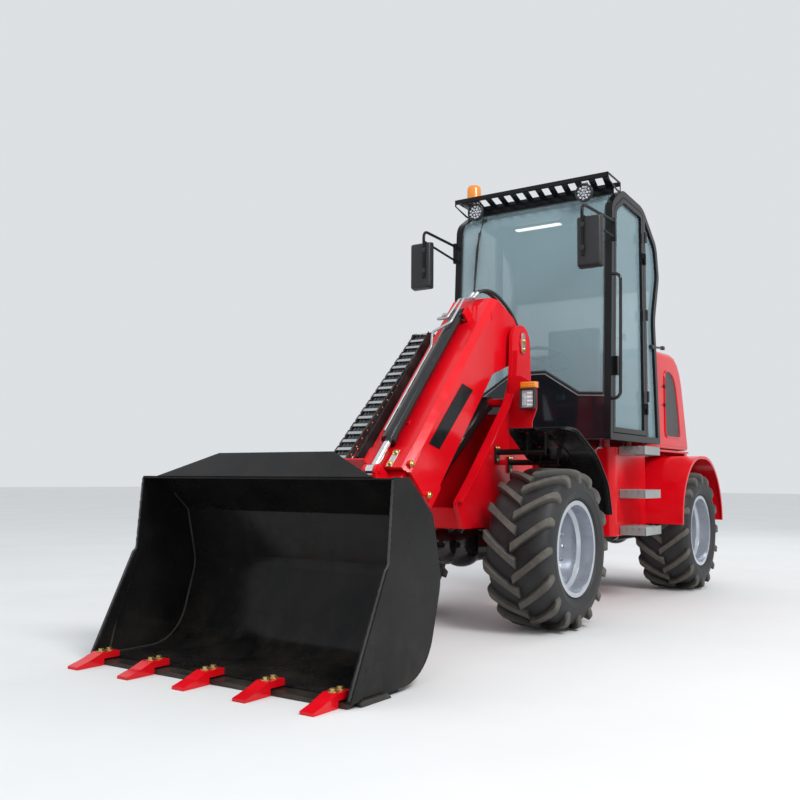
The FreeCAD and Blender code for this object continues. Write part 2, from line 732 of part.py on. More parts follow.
def extendCylinder():
    start = Vector(extendBackT, 0, extendN)
    barrelEnd = extendBackT + extendLength
    barrel = rod(Vector(extendBackT + 20.0, 0, extendN), Vector(barrelEnd, 0, extendN), extendRadius)
    collar = rod(Vector(barrelEnd - 50.0, 0, extendN), Vector(barrelEnd, 0, extendN), extendRadius + 5.0)
    eye = rodY(start.x, extendN, 34.0, -44.0, 44.0)
    chamber = rod(Vector(extendBackT + 120.0, 0, extendN), Vector(barrelEnd + 1, 0, extendN), extendRodRadius + pinGap)
    eyeHole = rodY(start.x, extendN, extendPinRadius + seatGap, -50.0, 50.0)
    barrel = fuse([barrel, collar, eye]).cut(chamber).cut(eyeHole)
    eyeT = boomLength + 60.0
    shaft = rod(Vector(barrelEnd - telescopeStroke - 120.0, 0, extendN), Vector(eyeT - 20.0, 0, extendN),
                extendRodRadius)
    rodEye = rodY(eyeT, extendN, 34.0, -24.0, 24.0)
    high = boomMidN + innerHeight / 2
    ears = []
    for y in (-44.0, 26.0):
        ears.append(plateY([(eyeT - 45.0, high - 2.0), (eyeT - 32.0, extendN + 34.0, 30.0),
                            (eyeT + 32.0, extendN + 34.0, 30.0), (eyeT + 75.0, high - 2.0)], y, y + 18.0))
    ears.append(rodY(eyeT, extendN, extendPinRadius, -50.0, 50.0))
    rodHole = rodY(eyeT, extendN, extendPinRadius + seatGap, -50.0, 50.0)
    # Bracket that carries the front end of the cable chain
    ears.append(block(innerBracketT, innerBracketT + 10.0, chainOuterY, -60.0, high - 12.0, chainFrontN))
    return onBoom(barrel), onBoom(fuse([shaft, rodEye]).cut(rodHole)), ears


extendBarrel, extendRod, extendEars = extendCylinder()
nodes["telescope_barrel"] = extendBarrel
nodes["telescope_rod"] = extendRod


# Steel pipes along the telescope cylinder, and the hoses that arch over the boom's head

def boomPipes():
    top = boomBottomN + boomHeight
    over = extendN + extendRadius + 20.0
    sideY = -extendRadius - 24.0
    side = extendN + 4.0
    pipeEndT = extendBackT + extendLength - 80.0
    long = tube([Vector(0, hoseStarts[1], pipeStartN), Vector(110.0, hoseStarts[1], over),
                 Vector(330.0, hoseStarts[1], over), Vector(415.0, sideY, over), Vector(490.0, sideY, side),
                 Vector(pipeEndT, sideY, side)], pipeRadius, 30.0)
    short = tube([Vector(0, hoseStarts[0], pipeStartN), Vector(110.0, hoseStarts[0], over),
                  Vector(290.0, -12.0, over), Vector(290.0, -88.0, over), Vector(196.0, -88.0, side)],
                 pipeRadius, 28.0)
    clamp = block(pipeEndT - 210.0, pipeEndT - 180.0, sideY - 12.0, sideY + 12.0, top + seatGap, side)
    port = block(180.0, 206.0, -102.0, -62.0 - seatGap, side - 16.0, side + 16.0)
    return [onBoom(fuse([long, clamp])), onBoom(fuse([short, port]))]


nodes["boom_pipes"] = Part.makeCompound(boomPipes())


def headHoses():
    # Each runs on from its pipe, over the head and down between the tower's plates
    made = []
    for start, side in zip(hoseStarts, hoseSides):
        first = boomPoint(-6.0, pipeStartN)
        second = boomPoint(-130.0, pipeStartN + 8.0)
        made.append(tube([
            Vector(first.x, start, first.z), Vector(second.x, (start + side) / 2, second.z),
            Vector(towerPivotX - 90.0, side, towerPivotHeight + 215.0),
            Vector(towerPivotX - 215.0, side, towerPivotHeight + 10.0),
            Vector(hoseEndX, side, hoseEndZ)], hoseRadius, hoseBend))
    return made


nodes["boom_hoses"] = Part.makeCompound(headHoses())


# Inner boom: a hollow box whose fork carries the coupler's pivot

def innerBoom():
    half = innerHalfWidth
    low = boomMidN - innerHeight / 2
    high = boomMidN + innerHeight / 2
    w = boomWall
    box = plateX([(-half, low, 14.0), (half, low, 14.0), (half, high, 14.0), (-half, high, 14.0)],
                 innerTailT, innerBoxEndT)
    inside = block(innerTailT - 1.0, innerBoxEndT + 1.0, -half + w, half - w, low + w, high - w)
    rockerSlot = block(innerBoxEndT - 200.0, innerBoxEndT + 1.0, -62.0, 62.0, high - w - 1.0, high + 1.0)
    cheek = plateY([
        (innerBoxEndT - 60.0, low + 6.0), (tipPivotT - 40.0, boomMidN - tipEarRadius, 60.0),
        (tipPivotT + tipEarRadius, boomMidN - tipEarRadius, 56.0),
        (tipPivotT + tipEarRadius, boomMidN + tipEarRadius, 56.0),
        (tipPivotT - 60.0, boomMidN + tipEarRadius, 80.0), (innerBoxEndT - 60.0, high - 6.0)],
        half - w - cheekThickness, half - w)
    tipTube = rodY(tipPivotT, boomMidN, 36.0, -half + w + 5.0, half - w - 5.0)
    rockerTube = rodY(tipPivotT - linkLength, boomMidN, rockerPinRadius, -half + w + 5.0, half - w - 5.0)
    # Slide pads round its tail
    padT = (innerTailT + 5.0, innerTailT + 125.0)
    top = boomBottomN + boomHeight
    pads = [block(*padT, -90.0, 90.0, boomBottomN + w + seatGap, low + 1.0),
            block(*padT, -90.0, 90.0, high - 1.0, top - w - seatGap)]
    pads += bothSides(block(*padT, half - 1.0, boomHalfWidth - w - seatGap, low + 50.0, high - 50.0))
    shapes = [box.cut(inside).cut(rockerSlot), cheek, mirror(cheek), tipTube, rockerTube] + extendEars + pads
    whole = fuse(shapes)
    bore = rodY(tipPivotT, boomMidN, tipPinRadius + pinGap, -half - 5.0, half + 5.0)
    return onBoom(whole.cut(bore))


nodes["inner_boom"] = innerBoom()

# Tilt linkage: a rocker on the fork and a link to the coupler, both as long as the coupler's arm

pivotSpot = boomPoint(tipPivotT, boomMidN)
armWay = Vector(math.cos(math.radians(linkArmAngle)), 0, math.sin(math.radians(linkArmAngle)))
rockerSpot = boomPoint(tipPivotT - linkLength, boomMidN)
couplerEye = pivotSpot + armWay * linkArm
rockerEye = rockerSpot + armWay * linkArm
across = Vector(0, 1, 0)


def bar(start, end, radius, low, high, bores):
    # A flat bar with round ends between two pin holes
    way = (end - start).normalize()
    up = way.cross(across)
    corners = [start + up * radius, end + up * radius, end - up * radius, start - up * radius]
    wall = Part.Face(Part.makePolygon([c + across * low for c in corners + [corners[0]]]))
    wall = wall.extrude(across * (high - low))
    ends = [Part.makeCylinder(radius, high - low, p + across * low, across) for p in (start, end)]
    made = fuse([wall] + ends)
    for spot, bore in zip((start, end), bores):
        if bore > 0.0:
            made = made.cut(Part.makeCylinder(bore, high - low + 2.0, spot + across * (low - 1.0), across))
    return made


rockerArm = bar(rockerSpot, rockerEye, linkEyeRadius, 32.0, 50.0, (rockerPinRadius + pinGap, 0.0))
rockerPin = Part.makeCylinder(linkPinRadius, 104.0, rockerEye - across * 52.0, across)
nodes["tilt_rocker"] = fuse(bothSides(rockerArm) + [rockerPin])
nodes["tilt_link"] = bar(rockerEye, couplerEye, 28.0, -26.0, 26.0, (linkPinRadius + pinGap,) * 2)


# Coupler frame between the inner boom and the bucket

def coupler():
    earIn = innerHalfWidth + 8.0
    earOut = earIn + 24.0
    ear = [
        (pivotSpot.x - 50.0, pivotSpot.z + 50.0, 46.0), (pivotSpot.x - 50.0, pivotSpot.z - 50.0, 46.0),
        (couplerFrontX - 20.0, 105.0, 20.0), (couplerFrontX, 105.0), (couplerFrontX, 640.0, 20.0),
        (couplerFrontX - 70.0, 640.0, 20.0),
    ]
    earPlate = plateY(ear, earIn, earOut)
    eyeBack = plateY([
        (couplerEye.x - 10.0, couplerEye.z - 30.0), (couplerFrontX, couplerEye.z - 90.0),
        (couplerFrontX, couplerEye.z + 60.0), (couplerEye.x - 10.0, couplerEye.z + 30.0)], 32.0, 50.0)
    pin = Part.makeCylinder(tipPinRadius, 2 * earOut + 16.0, pivotSpot - across * (earOut + 8.0), across)
    eyePin = Part.makeCylinder(linkPinRadius, 104.0, couplerEye - across * 52.0, across)
    bars = []
    for z0, z1 in ((110.0, 190.0), (560.0, 640.0)):
        bars.append(block(couplerFrontX - 34.0, couplerFrontX, -330.0, 330.0, z0, z1))
    posts = block(couplerFrontX - 30.0, couplerFrontX, 32.0, 60.0, 110.0, 640.0)
    shapes = bothSides(earPlate) + bothSides(eyeBack) + bars + bothSides(posts) + [pin, eyePin]
    return fuse(shapes)


nodes["coupler"] = coupler()


# Bucket: a wrapper sheet between two side plates, with its hooks for the coupler

bucketLipX = couplerFrontX + 600.0
bucketPath = [
    (couplerFrontX + 570.0, bucketBottomZ), (couplerFrontX + 120.0, bucketBottomZ, 230.0),
    (couplerFrontX + 4.0, 420.0, 200.0), (couplerFrontX + 70.0, 700.0, 20.0),
    (couplerFrontX + 260.0, 858.0), (couplerFrontX + 370.0, 858.0),
]


def bucket():
    sheet = plateY(strip(bucketPath, -bucketPlate), -bucketHalfWidth + 1.0, bucketHalfWidth - 1.0)
    side = [
        (bucketLipX + 34.0, bucketBottomZ), (couplerFrontX + 120.0, bucketBottomZ, 230.0),
        (couplerFrontX + 4.0, 420.0, 200.0), (couplerFrontX + 70.0, 700.0, 20.0),
        (couplerFrontX + 255.0, 862.0, 10.0), (couplerFrontX + 370.0, 862.0, 10.0),
        (couplerFrontX + 400.0, 510.0, 60.0),
    ]
    sidePlate = plateY(side, bucketHalfWidth - bucketSidePlate, bucketHalfWidth)
    cutter = [
        (bucketLipX + 50.0, bucketBottomZ), (bucketLipX - 20.0, bucketBottomZ),
        (couplerFrontX + 385.0, 490.0, 10.0), (couplerFrontX + 415.0, 500.0, 8.0),
    ]
    cutterPlate = plateY(cutter, bucketHalfWidth - bucketSidePlate - 8.0, bucketHalfWidth + 6.0)
    guard = Part.Face(Part.makePolygon([
        Vector(couplerFrontX + 365.0, -650.0, 856.0), Vector(couplerFrontX + 365.0, 650.0, 856.0),
        Vector(couplerFrontX + 245.0, 350.0, 856.0 + spillGuardHeight),
        Vector(couplerFrontX + 245.0, -350.0, 856.0 + spillGuardHeight),
        Vector(couplerFrontX + 365.0, -650.0, 856.0)])).extrude(Vector(8.0, 0, 6.0))
    heel = block(couplerFrontX + 300.0, couplerFrontX + 390.0, -bucketHalfWidth + 20.0, bucketHalfWidth - 20.0,
                 0.0, bucketBottomZ + 1.0)
    shapes = [sheet, guard, heel] + bothSides(sidePlate) + bothSides(cutterPlate)
    # Hook plates that take the coupler's frame
    for y in (-318.0, -90.0, 70.0, 298.0):
        hookPlate = plateY([
            (couplerFrontX + couplerGap, 640.0), (couplerFrontX + couplerGap, 90.0),
            (couplerFrontX + 140.0, 60.0), (couplerFrontX + 120.0, 690.0)], y, y + 20.0)
        inside = plateY(side, y - 1.0, y + 21.0)
        shapes.append(hookPlate.cut(inside))
    return fuse(shapes)


nodes["bucket"] = bucket()
nodes["cutting_edge"] = block(bucketLipX - 190.0, bucketLipX + 50.0, -bucketHalfWidth + 12.0,
                              bucketHalfWidth - 12.0, bucketBottomZ - edgeThickness,
                              bucketBottomZ)


# Teeth, bolted through the cutting edge
def teeth():
    edgeTop = bucketBottomZ
    tipX = couplerFrontX + toothReach
    made = []
    for i in range(toothCount):
        y = (i - (toothCount - 1) / 2) * toothPitch
        profile = [
            (bucketLipX - 30.0, edgeTop + bucketPlate + seatGap), (bucketLipX + 54.0, edgeTop + bucketPlate + seatGap),
            (bucketLipX + 54.0, 2.0), (bucketLipX + 80.0, 0.0), (tipX, 0.0), (tipX, 12.0),
            (bucketLipX + 130.0, 32.0, 90.0), (bucketLipX + 66.0, 57.0, 25.0), (bucketLipX - 30.0, 57.0, 6.0),
        ]
        made.append(plateY(profile, y - toothWidth / 2, y + toothWidth / 2))
    return Part.makeCompound(made)


nodes["bucket_teeth"] = teeth()


# Rear frame: two rails, side tanks, deck and the middle ears of the articulation

tankFrontX = frontAxleX - tankFrontBack
tankRearX = frontAxleX - tankRearBack
railOuter = railInner + railThickness
weightFrontX = rearAxleX - tyreRadius - 18.0
rearEndX = rearAxleX - rearOverhang


def rearFrame():
    axleNotch = rodY(rearAxleX, tyreRadius, axleTubeRadius + seatGap, -railOuter - 5.0, railOuter + 5.0)
    tank = plateZ([
        (tankFrontX, railOuter - 2.0), (tankFrontX, tankHalfWidth, 55.0),
        (tankRearX, tankHalfWidth), (tankRearX, railOuter - 2.0)], tankBottom, deckZ)
    deck = block(hoodFrontX, tankFrontX, -railOuter, railOuter, deckZ - 15.0, deckZ)
    wall = block(tankFrontX - 16.0, tankFrontX, -railInner, railInner, 690.0, deckZ - 15.0)
    belly = block(tankRearX, tankFrontX, -railInner, railInner, 500.0, 515.0)
    rearWall = block(weightFrontX, weightFrontX + 16.0, -railInner, railInner, 500.0, deckZ - 15.0)
    earZ = ((steerEarTop - steerEarThickness - runningGap - 26.0, steerEarTop - steerEarThickness - runningGap),
            (steerEarBottom + steerEarThickness + runningGap, steerEarBottom + steerEarThickness + runningGap + 26.0))
    ears = []
    for z0, z1 in earZ:
        ears.append(plateZ([
            (steerPivotX + 85.0, 85.0, 84.0), (steerPivotX + 85.0, -85.0, 84.0),
            (tankFrontX - 20.0, -170.0), (tankFrontX - 20.0, 170.0)], z0, z1))
    web = block(tankFrontX - 60.0, tankFrontX + 30.0, -90.0, 90.0, 480.0, 745.0)
    pin = rodZ(steerPivotX, 0, steerPinRadius, steerEarBottom - 14.0, steerEarTop + 14.0)
    anchors = []
    for z in (steerRodZ - steerEarGap - steerLugThickness, steerRodZ + steerEarGap):
        plate = plateZ([(steerAnchorX - 60.0, railInner + 5.0), (steerAnchorX - 40.0, steerAnchorY - 35.0, 30.0),
                        (steerAnchorX + 40.0, steerAnchorY - 35.0, 30.0), (steerAnchorX + 60.0, railInner + 5.0)],
                       z, z + steerLugThickness)
        anchors += bothSides(plate)
    steerPin = rodZ(steerAnchorX, steerAnchorY, steerEyePinRadius, steerRodZ - 50.0, steerRodZ + 50.0)
    sill = block(weightFrontX, tankRearX - 20.0, railInner, hoodHalfWidth + 4.0, deckZ - 6.0, hoodBottomZ - seatGap)
    rail = block(weightFrontX, tankFrontX, railInner, railOuter, 500.0, deckZ - 1.0)
    shapes = bothSides(rail) + bothSides(tank) + bothSides(steerPin) + bothSides(sill)
    shapes += [deck, wall, belly, rearWall, web, pin] + ears + anchors
    # Cross members under the engine, cab mounts, and the bulkhead that carries the hood
    for x in (rearAxleX - 250.0, rearAxleX + 250.0):
        shapes.append(block(x - 40.0, x + 40.0, -railInner - 1.0, railInner + 1.0, 625.0, engineFoot - seatGap))
    for x in (tankFrontX - 90.0, tankRearX + 120.0):
        shapes += bothSides(rodZ(x, 380.0, 35.0, deckZ - 1.0, cabFloorZ - seatGap))
    shapes.append(block(hoodFrontX + 5.0, hoodFrontX + 13.0, -460.0, 460.0, deckZ - 16.0, 1800.0))
    for y in hoodHingeSides:
        shapes.append(plateY([(hoodFrontX + 4.0, 1790.0), (hoodHingeX - 14.0, hoodHingeZ + 16.0, 13.0),
                              (hoodHingeX + 16.0, hoodHingeZ + 16.0, 13.0), (hoodHingeX + 16.0, 1790.0)],
                             y - 8.0, y + 8.0))
        shapes.append(rodY(hoodHingeX, hoodHingeZ, 8.0, y - 30.0, y + 30.0))
    return fuse(shapes).cut(axleNotch)


nodes["rear_frame"] = rearFrame()


def counterweight():
    slab = plateZ([
        (weightFrontX, -weightHalfWidth), (weightFrontX, weightHalfWidth),
        (rearEndX, weightHalfWidth, 60.0), (rearEndX, -weightHalfWidth, 60.0)], 430.0, deckZ - 5.0)
    slot = block(rearEndX - 5.0, rearEndX + 60.0, -60.0, 60.0, 560.0, 620.0)
    for pocket in bothSides(block(rearEndX - 5.0, rearEndX + 14.0, 328.0, 402.0, 898.0, 1042.0)):
        slab = slab.cut(pocket)
    # A drop pin goes from the top through the slot's two lips
    towBore = rodZ(rearEndX + 34.0, 0, towBoreRadius, 425.0, deckZ)
    return slab.cut(slot).cut(towBore)


nodes["counterweight"] = counterweight()
nodes["engine"] = block(rearAxleX - 320.0, rearAxleX + 330.0, -240.0, 240.0, engineFoot, 1380.0)


def rearFender():
    reach = rearFenderReach
    path = [(rearAxleX + reach, rearFenderBottom), (rearAxleX + reach, rearFenderTop, rearFenderRadius),
            (rearAxleX - reach, rearFenderTop, rearFenderRadius), (rearAxleX - reach, rearFenderBottom)]
    sheet = plateY(strip(path, fenderPlate), railOuter + seatGap, fenderHalfWidth)
    sheet = sheet.cut(block(rearEndX, weightFrontX + runningGap, 0, weightHalfWidth + seatGap, 400.0, deckZ))
    lip = plateY(strip(path, 22.0), fenderHalfWidth - 8.0, fenderHalfWidth)
    return fuse([sheet, lip])


fenderRear = rearFender()
nodes["rear_fender_left"] = fenderRear
nodes["rear_fender_right"] = mirror(fenderRear)


# Steps beside the left tank, open below
def steps():
    made = []
    x1 = frontAxleX - 1350.0
    x0 = x1 - stepLength
    y0 = tankHalfWidth + seatGap
    y1 = y0 + stepDepth
    for top in stepTops:
        tread = block(x0, x1, y0, y1, top - stepHeight, top)
        tread = tread.cut(block(x0 + 4.0, x1 - 4.0, y0 - 1.0, y1 - 4.0, top - stepHeight - 1.0, top - 4.0))
        made.append(tread)
    return Part.makeCompound(made)


nodes["steps"] = steps()


# Cab: side hoops, cross bars, roof, floor tub, glass

cabX = frontAxleX
# Outline of the cab's side: (x behind the front axle, z, corner radius)
cabOutline = ((-838.0, cabFloorZ, 20.0), (-925.0, 2760.0, 130.0), (-1128.0, 2895.0, 160.0),
              (-1545.0, 2868.0, 240.0), (-1840.0, 2640.0, 160.0), (-1885.0, 2400.0, 160.0),
              (-1775.0, 2060.0, 300.0), (-1850.0, cabFloorZ, 20.0))


def cabShape(inset, low, high):
    # The cab's side outline, moved inwards, as a slab along Y
    face = outlineFace([(cabX + x, z, r) for x, z, r in cabOutline], lambda p: Vector(p.x, low, p.y))
    if inset != 0.0:
        face = face.makeOffset2D(-inset)
    return face.extrude(Vector(0, high - low, 0))


def sideHoop():
    outer = cabShape(0.0, cabHalfWidth - cabPost, cabHalfWidth)
    inner = cabShape(cabPost, cabHalfWidth - cabPost - 1.0, cabHalfWidth + 1.0)
    splitX = cabX - doorSplitBack
    post = block(splitX - cabPost, splitX, cabHalfWidth - cabPost, cabHalfWidth, cabFloorZ + 10.0, 2860.0)
    post = post.common(cabShape(5.0, cabHalfWidth - cabPost, cabHalfWidth))
    return fuse([outer.cut(inner), post])


hoop = sideHoop()


def cabFrame():
    hinges = []
    for z in doorHingeHeights:
        hinges += [rodZ(doorHingeX, doorHingeY, 9.0, z, z + 40.0), rodZ(doorHingeX, doorHingeY, 4.0, z, z + 78.0),
                   block(doorHingeX - 34.0, doorHingeX - 0.5, cabHalfWidth - 1.0, doorHingeY - 2.0, z, z + 40.0)]
    return fuse(bothSides(hoop) + cabBars + hinges)


# Cross bars: (front, back, behind the front axle; bottom, top)
cabBars = [block(cabX - back, cabX - front, -cabHalfWidth + cabPost - 1.0, cabHalfWidth - cabPost + 1.0, low, high)
           for front, back, low, high in (
               (1135.0, 1175.0, 2818.0, 2852.0),
               (1800.0, 1845.0, 2300.0, 2340.0),
               (1800.0, 1842.0, cabFloorZ, cabFloorZ + 300.0))]
nodes["cab_frame"] = cabFrame()


def cabShell():
    # The wrapped sheet between the hoops: front, roof and back, as thick as the roof
    inner = cabHalfWidth - cabPost - seatGap
    outer = cabShape(2.0, -inner, inner)
    hollow = cabShape(2.0 + 18.0, -inner - 1.0, inner + 1.0)
    return outer.cut(hollow)


shellShape = cabShell()
innerWidth = cabHalfWidth - cabPost - seatGap


def frontPanel():
    # Black panel below the windscreen, higher in the middle
    front = shellShape.common(block(cabX - 960.0, cabX - 700.0, -innerWidth, innerWidth,
                                    cabFloorZ, 1700.0))
    outline = plateX([
        (-innerWidth - 5.0, cabFloorZ - 5.0), (innerWidth + 5.0, cabFloorZ - 5.0),
        (innerWidth + 5.0, cabWaistZ - 10.0), (377.0, cabWaistZ, 30.0), (127.0, 1587.0, 30.0),
        (-127.0, 1587.0, 30.0), (-377.0, cabWaistZ, 30.0), (-innerWidth - 5.0, cabWaistZ - 10.0)],
        cabX - 970.0, cabX - 700.0)
    return front.common(outline), outline


frontPanelShape, frontOutline = frontPanel()
floorPan = block(cabX - 1800.0, cabX - 870.0, -innerWidth, innerWidth, cabFloorZ, cabFloorZ + 22.0)
nodes["cab_floor"] = fuse([frontPanelShape, floorPan.cut(frontPanelShape)])

windscreenZone = block(cabX - 1130.0, cabX - 700.0, -innerWidth, innerWidth, cabWaistZ - 40.0, 3000.0)
glassShell = cabShape(6.0, -innerWidth, innerWidth).cut(
    cabShape(6.0 + glassThickness, -innerWidth - 1.0, innerWidth + 1.0))
grown = frontOutline.copy()
grown.translate(Vector(0, 0, seatGap))
nodes["windscreen"] = glassShell.common(windscreenZone).cut(grown)

roofZone = block(cabX - 2000.0, cabX - 1130.5, -innerWidth, innerWidth, 2340.0 + seatGap, 3000.0)
nodes["cab_roof"] = shellShape.common(roofZone).cut(cabBars[0])

rearZone = block(cabX - 2000.0, cabX - 1700.0, -innerWidth, innerWidth, cabFloorZ + 300.0 + seatGap,
                 2340.0)
nodes["rear_glass"] = glassShell.common(rearZone).cut(cabBars[1])


def sideGlass(inset, x0, x1, low, high):
    face = cabShape(inset, low, high)
    return face.common(block(x0, x1, low, high, cabFloorZ, 3000.0))


splitX = cabX - doorSplitBack
glassLow = cabHalfWidth - cabPost / 2 - glassThickness / 2
glassHigh = glassLow + glassThickness
quarter = sideGlass(cabPost + seatGap, cabX - 2000.0, splitX - cabPost - seatGap, glassLow, glassHigh)
rightPane = mirror(sideGlass(cabPost + seatGap, splitX + seatGap, cabX, glassLow, glassHigh))
nodes["side_glass"] = Part.makeCompound(bothSides(quarter) + [rightPane])


def door():
    # The left door: a frame that fills the hoop's front opening, and its pane
    low = cabHalfWidth - doorFrame
    x0 = splitX + doorGap
    zone = block(x0, cabX, low - 1.0, cabHalfWidth + 1.0, cabFloorZ, 3000.0)
    outer = cabShape(cabPost + doorGap, low, cabHalfWidth).common(zone)
    holeZone = block(x0 + doorFrame, cabX, low - 2.0, cabHalfWidth + 2.0, cabFloorZ, 3000.0)
    hole = cabShape(cabPost + doorGap + doorFrame, low - 1.0, cabHalfWidth + 1.0).common(holeZone)
    frame = outer.cut(hole)
    handle = block(cabX - 948.0, cabX - 920.0, cabHalfWidth - 1.0, cabHalfWidth + 24.0, 1560.0, 1690.0)
    pieces = [frame, handle]
    for z in doorHingeHeights:
        pieces += [rodZ(doorHingeX, doorHingeY, 9.0, z + 40.0 + seatGap, z + 80.0),
                   block(doorHingeX + 0.5, doorHingeX + 34.0, cabHalfWidth - 1.0, doorHingeY - 2.0,
                         z + 40.0 + seatGap, z + 80.0)]
    frame = fuse(pieces)
    for z in doorHingeHeights:
        frame = frame.cut(rodZ(doorHingeX, doorHingeY, 4.0 + pinGap, z, z + 90.0))
    pane = cabShape(cabPost + doorGap + doorFrame + seatGap, glassLow, glassHigh).common(
        block(x0 + doorFrame + seatGap, cabX, low, cabHalfWidth, cabFloorZ, 3000.0))
    return frame, pane


doorShape, doorPane = door()
nodes["door_frame"] = doorShape
nodes["door_glass"] = doorPane


# Visor above the windscreen: a frame with slanting slats

beaconX = cabX - 1020.0
beaconY = -520.0


def visor():
    front = cabX - 880.0
    back = cabX - 1120.0
    half = 607.0
    z = visorZ
    shapes = [block(front - 20.0, front, -half, half, z - 8.0, z + 34.0),
              block(back, back + 20.0, -half, half, z - 8.0, z + 22.0)]
    shapes += bothSides(block(back, front, half - 16.0, half, z - 60.0, z + 22.0))
    count = 16
    pitch = 2 * half / count
    for i in range(count):
        y = -half + (i + 0.5) * pitch
        slat = plateZ([(front - 15.0, y + 30.0), (front - 15.0, y + 6.0), (back + 15.0, y - 30.0),
                       (back + 15.0, y - 6.0)], z - 2.0, z + 2.0)
        shapes.append(slat)
    # Seat of the beacon
    shapes.append(block(beaconX - 65.0, beaconX + 65.0, beaconY - 65.0, beaconY + 65.0, z - 2.0, z + 7.0))
    return fuse(shapes).cut(cabShape(-seatGap, -half - 20.0, half + 20.0))


nodes["visor"] = visor()


# Lamps
def cabLamps():
    made = []
    for y in (-430.0, 430.0):
        made.append(fuse([rodX(y, 2840.0, 50.0, cabX - 925.0, cabX - 870.0),
                          block(cabX - 905.0, cabX - 890.0, y - 8.0, y + 8.0, 2880.0, 2916.7)]))
    return Part.makeCompound(made)


nodes["work_lamps"] = cabLamps()
nodes["beacon"] = rodZ(beaconX, beaconY, 48.0, visorZ + 7.0 + seatGap, beaconTop)


# Mirrors on tube frames
def mirrorArm(side):
    y0 = side * (cabHalfWidth + seatGap)
    y1 = side * (cabHalfWidth + 13.0)
    x = cabX - 940.0
    out = cabX - 440.0
    armTop = 2615.0
    start = y0 + side * 14.0
    arm = tube([Vector(x, start, armTop), Vector(out, y1, armTop + 5.0), Vector(out, y1, 2280.0)], 9.0, 45.0)
    stay = rod(Vector(x, start, armTop - 110.0), Vector(out, y1, armTop - 70.0), 8.0)
    foot = block(x - 18.0, x + 18.0, min(y0, y0 + side * 24.0), max(y0, y0 + side * 24.0), 2480.0, 2640.0)
    head = plateZ([(out - 62.0, y1 - 80.0, 20.0), (out - 62.0, y1 + 80.0, 20.0), (out - 2.0, y1 + 80.0, 20.0),
                   (out - 2.0, y1 - 80.0, 20.0)], 2200.0, 2545.0)
    return fuse([arm, stay, foot, head])


nodes["mirrors"] = Part.makeCompound([mirrorArm(1), mirrorArm(-1)])

grab = tube([Vector(cabX - 872.0, cabHalfWidth + seatGap, 1400.0), Vector(cabX - 872.0, cabHalfWidth + 60.0, 1400.0),
             Vector(cabX - 905.0, cabHalfWidth + 60.0, 2250.0), Vector(cabX - 905.0, cabHalfWidth + seatGap, 2250.0)],
            11.0, 45.0)
nodes["grab_handle"] = grab


# Seat, steering column and lever box
def seat():
    x = cabX - 1490.0
    floorTop = cabFloorZ + 22.0
    base = block(x - 180.0, x + 180.0, -180.0, 180.0, floorTop, floorTop + 230.0)
    cushion = plateX([(-235.0, floorTop + 230.0, 30.0), (235.0, floorTop + 230.0, 30.0),
                      (240.0, floorTop + 350.0, 45.0), (-240.0, floorTop + 350.0, 45.0)], x - 230.0, x + 250.0)
    back = plateY([(x - 230.0, floorTop + 300.0, 20.0), (x - 110.0, floorTop + 300.0, 20.0),
                   (x - 150.0, floorTop + 900.0, 50.0), (x - 250.0, floorTop + 900.0, 40.0)], -225.0, 225.0)
    return fuse([base, cushion, back])


nodes["seat"] = seat()


def steeringColumn():
    floorTop = cabFloorZ + 22.0
    foot = Vector(cabX - 960.0, 0, floorTop)
    top = Vector(cabX - 1150.0, 0, floorTop + 560.0)
    way = (top - foot).normalize()
    column = rod(foot, top, 38.0)
    trimmed = column.cut(block(foot.x - 200.0, foot.x + 200.0, -100.0, 100.0, floorTop - 100.0, floorTop))
    ring = Part.makeTorus(190.0, 13.0, top + way * 30.0, way)
    hub = rod(top, top + way * 40.0, 40.0)
    side = way.cross(Vector(0, 1, 0))
    spokes = []
    for turn in (90.0, 210.0, 330.0):
        a = math.radians(turn)
        out = Vector(0, 1, 0) * math.cos(a) + side * math.sin(a)
        spokes.append(rod(top + way * 25.0, top + way * 28.0 + out * 188.0, 9.0))
    return fuse([trimmed, ring, hub] + spokes)


nodes["steering_column"] = steeringColumn()
nodes["lever_box"] = plateY([
    (cabX - 1250.0, cabFloorZ + 22.0), (cabX - 1250.0, 1560.0, 30.0), (cabX - 1700.0, 1540.0, 30.0),
    (cabX - 1700.0, cabFloorZ + 22.0)], -430.0, -290.0)


# Hood: a hollow shell with arched side openings, hinged above its front edge

def hoodSolid(inset):
    # The hood's outer form, or the hollow inside it, which is open in front and below
    x0 = hoodFrontX
    front = x0 + (5.0 if inset > 0.0 else 0.0)
    low = hoodBottomZ - (1.0 if inset > 0.0 else 0.0)
    profile = [
        (front, low), (front, hoodTopZ - inset), (x0 - 480.0, hoodTopZ - inset, 330.0),
        (frontAxleX - 2860.0 + inset, 1600.0, 260.0), (rearEndX + 66.0 + inset, low),
    ]
    side = plateY(profile, -hoodHalfWidth - 10.0, hoodHalfWidth + 10.0)
    half = hoodHalfWidth - inset
    section = plateX([
        (-half, hoodBottomZ - 5.0), (half, hoodBottomZ - 5.0), (half, 1500.0, 900.0),
        (half - 70.0, hoodTopZ - inset + 6.0, 130.0), (-half + 70.0, hoodTopZ - inset + 6.0, 130.0),
        (-half, 1500.0, 900.0)],
        rearEndX - 50.0, x0 + 50.0)
    return side.common(section)


windowOutline = [
    (frontAxleX - 2300.0, 1215.0, 45.0), (frontAxleX - 2300.0, 1740.0, 60.0),
    (frontAxleX - 2480.0, 1730.0, 150.0), (frontAxleX - 2700.0, 1215.0, 45.0)]


